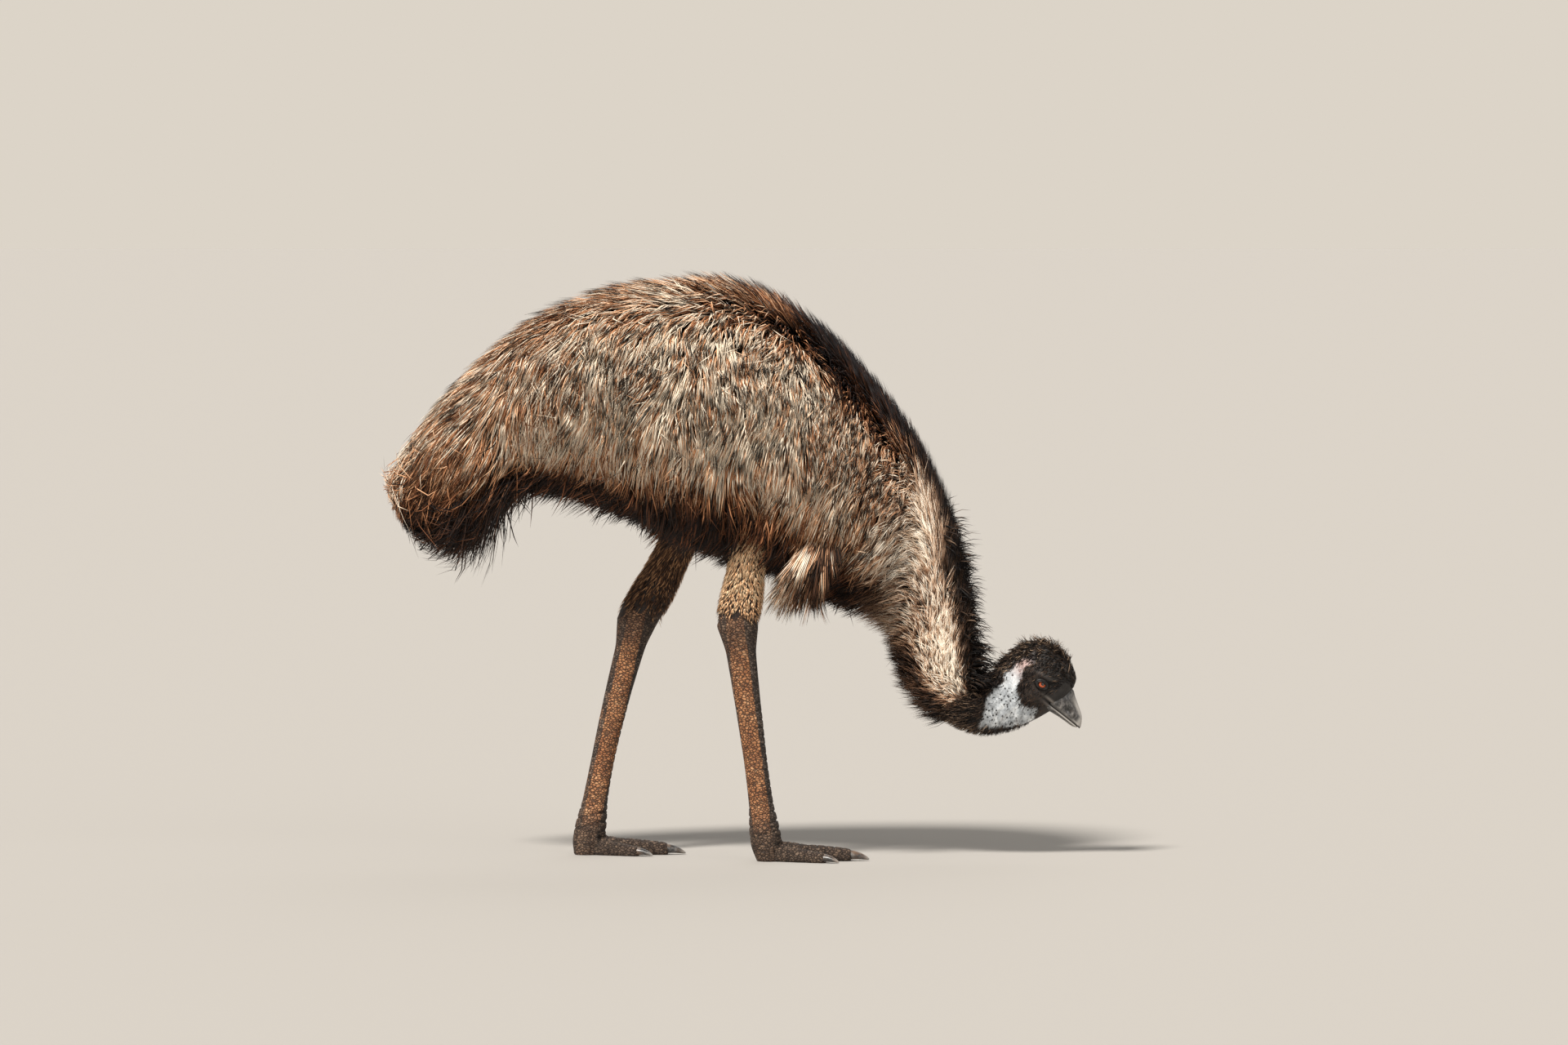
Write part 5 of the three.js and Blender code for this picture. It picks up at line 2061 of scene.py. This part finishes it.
@dataclass
class WingCoat:
    """The hanging feathers of one small wing."""

    wing: Wing
    side: Side

    def build(self, finishes: Finishes) -> None:
        """Builds the feathers.

        Args:
            finishes: The finishes.
        """
        random = np.random.default_rng(90 + self.side.value)
        each = 7
        clumps = self.wing.tufts // each
        count = clumps * each
        owner = np.repeat(np.arange(clumps), each)
        spots = even_points(clumps, 30)
        share = (spots[:, 0] ** 0.85)[owner] + random.normal(0, 0.02, count)
        angle = (2 * math.pi * spots[:, 1])[owner] + random.normal(0, 0.12, count)
        root = self.wing.place(self.side, capped(share), angle, 0.004)
        out = unit(np.stack([0.35 * np.cos(angle), self.side.value * np.sin(angle), 0 * angle], axis=-1))
        outer = capped(out[:, 1] * self.side.value)
        heading = self.wing.heading + 0.26 * np.cos(angle) + random.normal(0, 0.07, clumps)[owner]
        heading = heading + random.normal(0, 0.03, count)
        length = self.wing.length * MM * (0.62 + 0.36 * capped(share))
        length = length * random.uniform(0.8, 1.1, clumps)[owner]
        bend = random.normal(0.1, 0.22, clumps)[owner] + random.normal(0, 0.16, count)
        paths = []
        spot = root.copy()
        steps = 4
        for step in range(steps + 1):
            at = step / steps
            bow = 0.007 * math.sin(math.pi * 0.5 * at) + 0.002 * at
            paths.append(spot + out * bow * (0.4 + 0.6 * outer)[:, None])
            way = heading + bend * at
            aside = self.side.value * (0.85 * ease(share, 0.95, 0.55) * (1 - at) - 0.05)
            stride = np.stack([np.sin(way), aside, -np.cos(way)], axis=-1)
            spot = spot + stride * (length / steps)[:, None]
        draw = np.linspace(0, 1, steps + 1)[None, :, None] ** 1.2 * 0.4
        made = np.stack(paths, axis=1)
        middle = made.reshape(clumps, each, steps + 1, 3).mean(axis=1)[owner]
        made = made + (middle - made) * draw
        marks = {
            "pale": 0.2 * ease(np.cos(angle), 0.4, -0.4),
            "dark": capped(1.6 * (random.random(clumps)[owner] - 0.36) + 0.7 * np.cos(angle)),
            "grey": np.full(count, 0.3), "tips": np.full(count, 0.3),
        }
        tufts = Tufts(
            made, np.repeat(out[:, None], steps + 1, axis=1),
            0.0008 * random.uniform(0.75, 1.25, count)[:, None] * np.array([0.8, 1.0, 0.9, 0.65, 0.0]),
            0.5, np.stack([(angle / (2 * math.pi)) % 1, 0.05 + 0.9 * capped(share)], axis=-1),
            random.random(count), random.random(clumps)[owner], marks,
        )
        tufts.build(f"coat_wing_{self.side.label}", finishes.feathers, "body_feathers")


@dataclass
class Eye:
    """One eye: the ball, and the lids round it."""

    forms: HeadForms
    side: Side
    radius: float = 12.5
    open_long: float = 6.8
    open_high: float = 4.6
    tilt: float = 0.5

    def centre(self) -> Array:
        """The eye's middle."""
        return on_side(self.forms.eye, self.side)

    def ball(self, finishes: Finishes) -> None:
        """Builds the eyeball, its pupil facing out.

        Args:
            finishes: The finishes.
        """
        made = bmesh.new()
        bmesh.ops.create_uvsphere(made, u_segments=48, v_segments=32, radius=self.radius * MM)
        flat = np.array([vert.co for vert in made.verts])
        out = np.degrees(np.arccos(np.clip(flat[:, 2] / (self.radius * MM), -1, 1))) / 90
        ring = np.stack([out * 1.55, np.arctan2(flat[:, 1], flat[:, 0]), 0 * out], axis=-1)
        turn = Matrix.Rotation(-self.side.value * math.radians(84), 4, "X")
        turn = turn @ Matrix.Rotation(math.radians(8), 4, "Y")
        bmesh.ops.transform(made, matrix=Matrix.Translation(self.centre()) @ turn, verts=made.verts)
        piece = piece_of(made, f"eyeball_{self.side.label}")
        put_vectors(piece.data, "ring", ring)
        piece.data.materials.append(finishes.iris)
        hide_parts(f"eye_{self.side.label}")
        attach(piece, "root")
        report(piece)

    def lids(self, finishes: Finishes) -> None:
        """Builds the two lids as one ring of folded skin round the opening.

        Args:
            finishes: The finishes.
        """
        # Share of the opening, and how far the fold stands off the eye's middle.
        profile = np.array([
            (1.0, 11.2), (0.99, 12.7), (1.03, 13.9), (1.12, 14.5), (1.24, 14.3), (1.33, 13.7),
            (1.43, 14.2), (1.6, 14.0), (1.85, 12.6), (2.1, 10.0), (2.0, 7.0), (1.2, 7.5),
        ])
        around = 64
        columns = len(profile)
        middle = self.centre()

        def place(row: Array, angle: Array) -> Array:
            """Puts the lids' points.

            Args:
                row: Their places round the eye.
                angle: Their places round the fold.

            Returns:
                The points.
            """
            round_eye = row / around * 2 * math.pi
            column = np.round(angle / (2 * math.pi) * columns).astype(int) % columns
            share, reach = profile[column, 0], profile[column, 1]
            upper = capped(np.sin(round_eye))
            wide = self.open_long * np.cos(round_eye) * (share + 0.08 * (share - 1))
            high = self.open_high * np.sin(round_eye) * share * (1 - 0.12 * upper)
            high = high + 1.1 * (share - 1) * upper * 3
            far = np.hypot(wide, high)
            out = np.sqrt(np.clip(reach**2 - (0.55 * far) ** 2, 1, None))
            out = out + 0.9 * upper * np.exp(-(((share - 1.5) / 0.3) ** 2))
            ahead = wide * math.cos(self.tilt) + high * math.sin(self.tilt)
            above = high * math.cos(self.tilt) - wide * math.sin(self.tilt)
            return middle + np.stack([ahead, self.side.value * out, above], axis=-1) * MM

        made = loft(around, columns, place)
        bmesh.ops.subdivide_edges(made, edges=made.edges, cuts=1, use_grid_fill=True, smooth=0.6)
        bmesh.ops.recalc_face_normals(made, faces=made.faces)
        piece = piece_of(made, f"lids_{self.side.label}")
        piece.data.materials.append(finishes.lid)
        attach(piece, "root")
        report(piece)

    def build(self, finishes: Finishes) -> None:
        """Builds ball and lids."""
        self.ball(finishes)
        self.lids(finishes)


@dataclass
class Bill:
    """The bill along the line of the mouth, from the tip back to the corner under the eye."""

    tip: tuple[float, float] = (594, 227)
    corner: tuple[float, float] = (515, 290)
    # Distance from the tip, depth, half width.
    upper: Rows = (
        (0, 5, 2.5), (5, 12.5, 6), (12, 19, 8.5), (27, 28.5, 12), (40, 36.5, 15.5), (49, 43, 18),
        (58, 44, 20), (68, 42, 21),
    )
    lower: Rows = (
        (4, 2.2, 3), (9, 5, 6.5), (17, 6.5, 8.5), (30, 7, 11.5), (44, 8, 15), (58, 10, 18), (70, 12, 20),
    )
    nostril: tuple[float, float] = (35, 11.5)

    def half(self, above: bool, finishes: Finishes) -> None:
        """Builds one half of the bill.

        Args:
            above: Whether it is the upper half.
            finishes: The finishes.
        """
        table = np.array(self.upper if above else self.lower)
        back = np.array([self.corner[0] - self.tip[0], self.corner[1] - self.tip[1]])
        back = back / np.linalg.norm(back)
        up = np.array([back[1], -back[0]]) * (1 if above else -1)
        rows, columns = 72, 64

        def place(row: Array, angle: Array) -> Array:
            """Puts the bill's points.

            Args:
                row: Their rows.
                angle: Their angles.

            Returns:
                The points.
            """
            along = capped((row - 2) / (rows - 4))
            share = along * (len(table) - 1)
            distance, depth, wide = read_table(table, share).T
            wall = np.select([row <= 0, row == 1, row == rows - 1, row >= rows], [0.0, 0.62, 0.98, 0.0], 1.0)
            high = np.cos(angle)
            edge = 0.15 + np.where(high > 0, depth * np.abs(high) ** (0.8 if above else 0.7), 0.0) * wall
            culmen = 0.9 * np.exp(-((angle - math.pi * np.round(angle / math.pi)) ** 2) / 0.03) * (high > 0)
            rise = edge + culmen * wall * ease(distance, 4, 16) * (1 if above else 0.3)
            cut = -1.5 * np.exp(-((rise / 1.2) ** 2)) * wall
            hook = 1.6 * ease(distance, 9, 0) * (1 if above else 0)
            nose = np.hypot((distance - self.nostril[0]) / 9, (rise - self.nostril[1]) / 2.8)
            dent = 3.2 * ease(nose, 1.25, 0.5) if above else 0 * nose
            rim = 0.7 * np.exp(-(((nose - 1.45) / 0.3) ** 2)) if above else 0 * nose
            side = wall * np.sin(angle) * np.maximum(wide + cut - (dent - rim) * (high > 0.02), 0.5)
            x = self.tip[0] + back[0] * distance + up[0] * rise + hook * -up[0]
            z = self.tip[1] + back[1] * distance + up[1] * rise + hook * -up[1]
            return np.stack([x, side, z], axis=-1) * MM

        made = loft(rows, columns, place)
        piece = piece_of(made, "horn_upper" if above else "horn_lower")
        points = places_of(piece.data) / MM
        off = points[:, [0, 2]] - np.array(self.tip)
        run, rise = off @ back, off @ up
        near = np.interp(run, table[:, 0], table[:, 1])
        # Painted highlights: paler along the ridge of each half, along the cutting edge and at the tip.
        highlight_and_wear = 0.85 * ease(rise / np.maximum(near, 1), 0.7, 0.95) * ease(run, 58, 25)
        highlight_and_wear = np.maximum(highlight_and_wear, ease(rise, 4.4, 2.4) * ease(run, 78, 30))
        highlight_and_wear = np.maximum(highlight_and_wear, 0.8 * ease(run, 16, 5))
        # Painted shade: darker in the nostril and along the gap between the halves.
        hollow = np.hypot((run - self.nostril[0]) / 8, (rise - self.nostril[1]) / 2.2)
        crease = ease(hollow, 1.1, 0.6) if above else 0 * hollow
        crease = np.maximum(crease, ease(rise, 1.9, 1.1))
        put_vectors(piece.data, "horn", np.stack([highlight_and_wear, crease, 0.05 + 0 * highlight_and_wear], axis=-1))
        piece.data.materials.append(finishes.horn)
        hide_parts("bill_upper" if above else "bill_lower")
        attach(piece, "root")
        report(piece)

    def build(self, finishes: Finishes) -> None:
        """Builds both halves."""
        self.half(True, finishes)
        self.half(False, finishes)


@dataclass
class Claw:
    """One blunt claw that arches down towards the floor."""

    limb: Limb
    toe: Toe

    def build(self, finishes: Finishes) -> None:
        """Builds the claw.

        Args:
            finishes: The finishes.
        """
        ahead, across, root = self.toe.axes(self.limb)
        root = root + ahead * (self.toe.length - 3.0) * MM
        length = (self.toe.claw + 3.3) * MM
        middle = 0.3 * self.toe.height * MM
        rows = 26

        def place(row: Array, angle: Array) -> Array:
            """Puts the claw's points.

            Args:
                row: Their rows.
                angle: Their angles.

            Returns:
                The points.
            """
            share = np.clip(row - 1, 0, rows - 1) / (rows - 1)
            wall = np.where(row == 0, 0.0, np.sqrt(capped(1 - share)))
            spread = 0.56 * self.toe.half_width * MM * wall * (1 - 0.12 * share)
            made = root + ahead * (share * length)[:, None] + across * (spread * np.sin(angle))[:, None]
            keel = 1 + 0.12 * np.exp(-((np.cos(angle) - 1) ** 2) / 0.02)
            made[:, 2] = 0.0005 + middle * (1 - 0.75 * share**2) + 0.82 * middle * wall * np.cos(angle) * keel
            made[:, 2] = np.maximum(made[:, 2], 0.0)
            return made

        piece = piece_of(loft(rows, 24, place), f"nail_{self.toe.name}_{self.limb.side.label}")
        off = (places_of(piece.data) - root) @ ahead / length
        horn = np.stack([0.5 * ease(off, 0.6, 1.0), 0 * off, 0.7 - 0.3 * off], axis=-1)
        put_vectors(piece.data, "horn", horn)
        piece.data.materials.append(finishes.horn)
        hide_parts(f"claw_{self.toe.name}_{self.limb.side.label}")
        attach(piece, "root")
        report(piece)


@dataclass(frozen=True)
class Studio:
    """The floor, the soft lights and the camera at the photo's angle."""

    centre: tuple[float, float, float] = (0.0788, 0.0, 0.585)
    eye_height: float = 1.38
    distance: float = 18.0
    lens: float = 237.7

    def floor(self, finishes: Finishes) -> None:
        """Lays the floor.

        Args:
            finishes: The finishes.
        """
        made = bmesh.new()
        bmesh.ops.create_grid(made, x_segments=2, y_segments=2, size=60)
        piece = piece_of(made, "studio_floor")
        piece.data.materials.append(finishes.floor)

    def camera(self) -> None:
        """Sets the camera."""
        lens = bpy.data.cameras.new("camera")
        lens.lens = self.lens
        lens.sensor_width = 36
        lens.clip_end = 200
        piece = added("camera", lens)
        piece.location = (self.centre[0], -self.distance, self.eye_height)
        piece.rotation_euler = (Vector(self.centre) - piece.location).to_track_quat("-Z", "Y").to_euler()
        bpy.context.scene.camera = piece

    def light(
        self, name: str, way: Sequence[float], width: float, power: float, colour: Sequence[float]
    ) -> None:
        """Sets one wide soft light, even all over the floor.

        Args:
            name: Its name.
            way: The way towards it.
            width: How many degrees wide it looks.
            power: Its strength.
            colour: Its colour.
        """
        lamp = bpy.data.lights.new(name, "SUN")
        lamp.angle = math.radians(width)
        lamp.energy = power
        lamp.color = colour
        piece = added(name, lamp)
        piece.rotation_euler = (-Vector(way)).to_track_quat("-Z", "Y").to_euler()

    def build(self, finishes: Finishes) -> None:
        """Builds floor, lights and camera.

        Args:
            finishes: The finishes.
        """
        self.floor(finishes)
        self.light("key", (-0.42, -0.64, 0.92), 12, 4.9, (1.0, 0.96, 0.9))
        self.light("fill", (0.75, -0.9, 0.35), 60, 0.6, (1.0, 0.98, 0.95))
        self.light("back", (0.2, 0.9, 0.7), 50, 0.6, (1.0, 0.98, 0.95))
        world = bpy.data.worlds.new("studio")
        world.use_nodes = True
        graph = Graph(world.node_tree)
        air = graph.node("ShaderNodeBackground", {"Color": tone(228, 225, 220), "Strength": 0.48})
        seen = graph.node("ShaderNodeBackground", {"Color": tone(220, 212, 200), "Strength": 1.0})
        camera = graph.node("ShaderNodeLightPath", {}).outputs["Is Camera Ray"]
        mixed = graph.node("ShaderNodeMixShader", {0: camera, 1: air.outputs[0], 2: seen.outputs[0]})
        graph.node("ShaderNodeOutputWorld", {"Surface": mixed.outputs[0]})
        bpy.context.scene.world = world
        bpy.context.scene.view_settings.view_transform = "Standard"
        bpy.context.scene.view_settings.look = "None"
        self.camera()


@dataclass
class Emu:
    """The whole bird."""

    trunk: Trunk
    marks: Markings
    forms: HeadForms
    wing: Wing

    def build(self, finishes: Finishes) -> None:
        """Builds every piece in order.

        Args:
            finishes: The finishes.
        """
        skin = Skin(self.trunk, self.marks, self.forms, self.wing)
        skin.build(finishes)
        coat = TrunkCoat(self.trunk, self.marks)
        coat.build(finishes)
        HeadCoat(coat, self.forms).build(finishes)
        for side in Side:
            DrumstickCoat(LIMBS[side], skin.down_depth).build(finishes)
            WingCoat(self.wing, side).build(finishes)
            Eye(self.forms, side).build(finishes)
            for toe in TOES:
                Claw(LIMBS[side], toe).build(finishes)
        Bill().build(finishes)


def main() -> None:
    """Builds the emu and its studio."""
    logging.basicConfig(level=logging.INFO, format="%(name)s %(message)s")
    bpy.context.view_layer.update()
    finishes = Finishes.build()
    Emu(Trunk(), Markings(), HeadForms(), Wing()).build(finishes)
    Studio().build(finishes)
    bpy.context.view_layer.update()


if __name__ == "__main__":
    main()
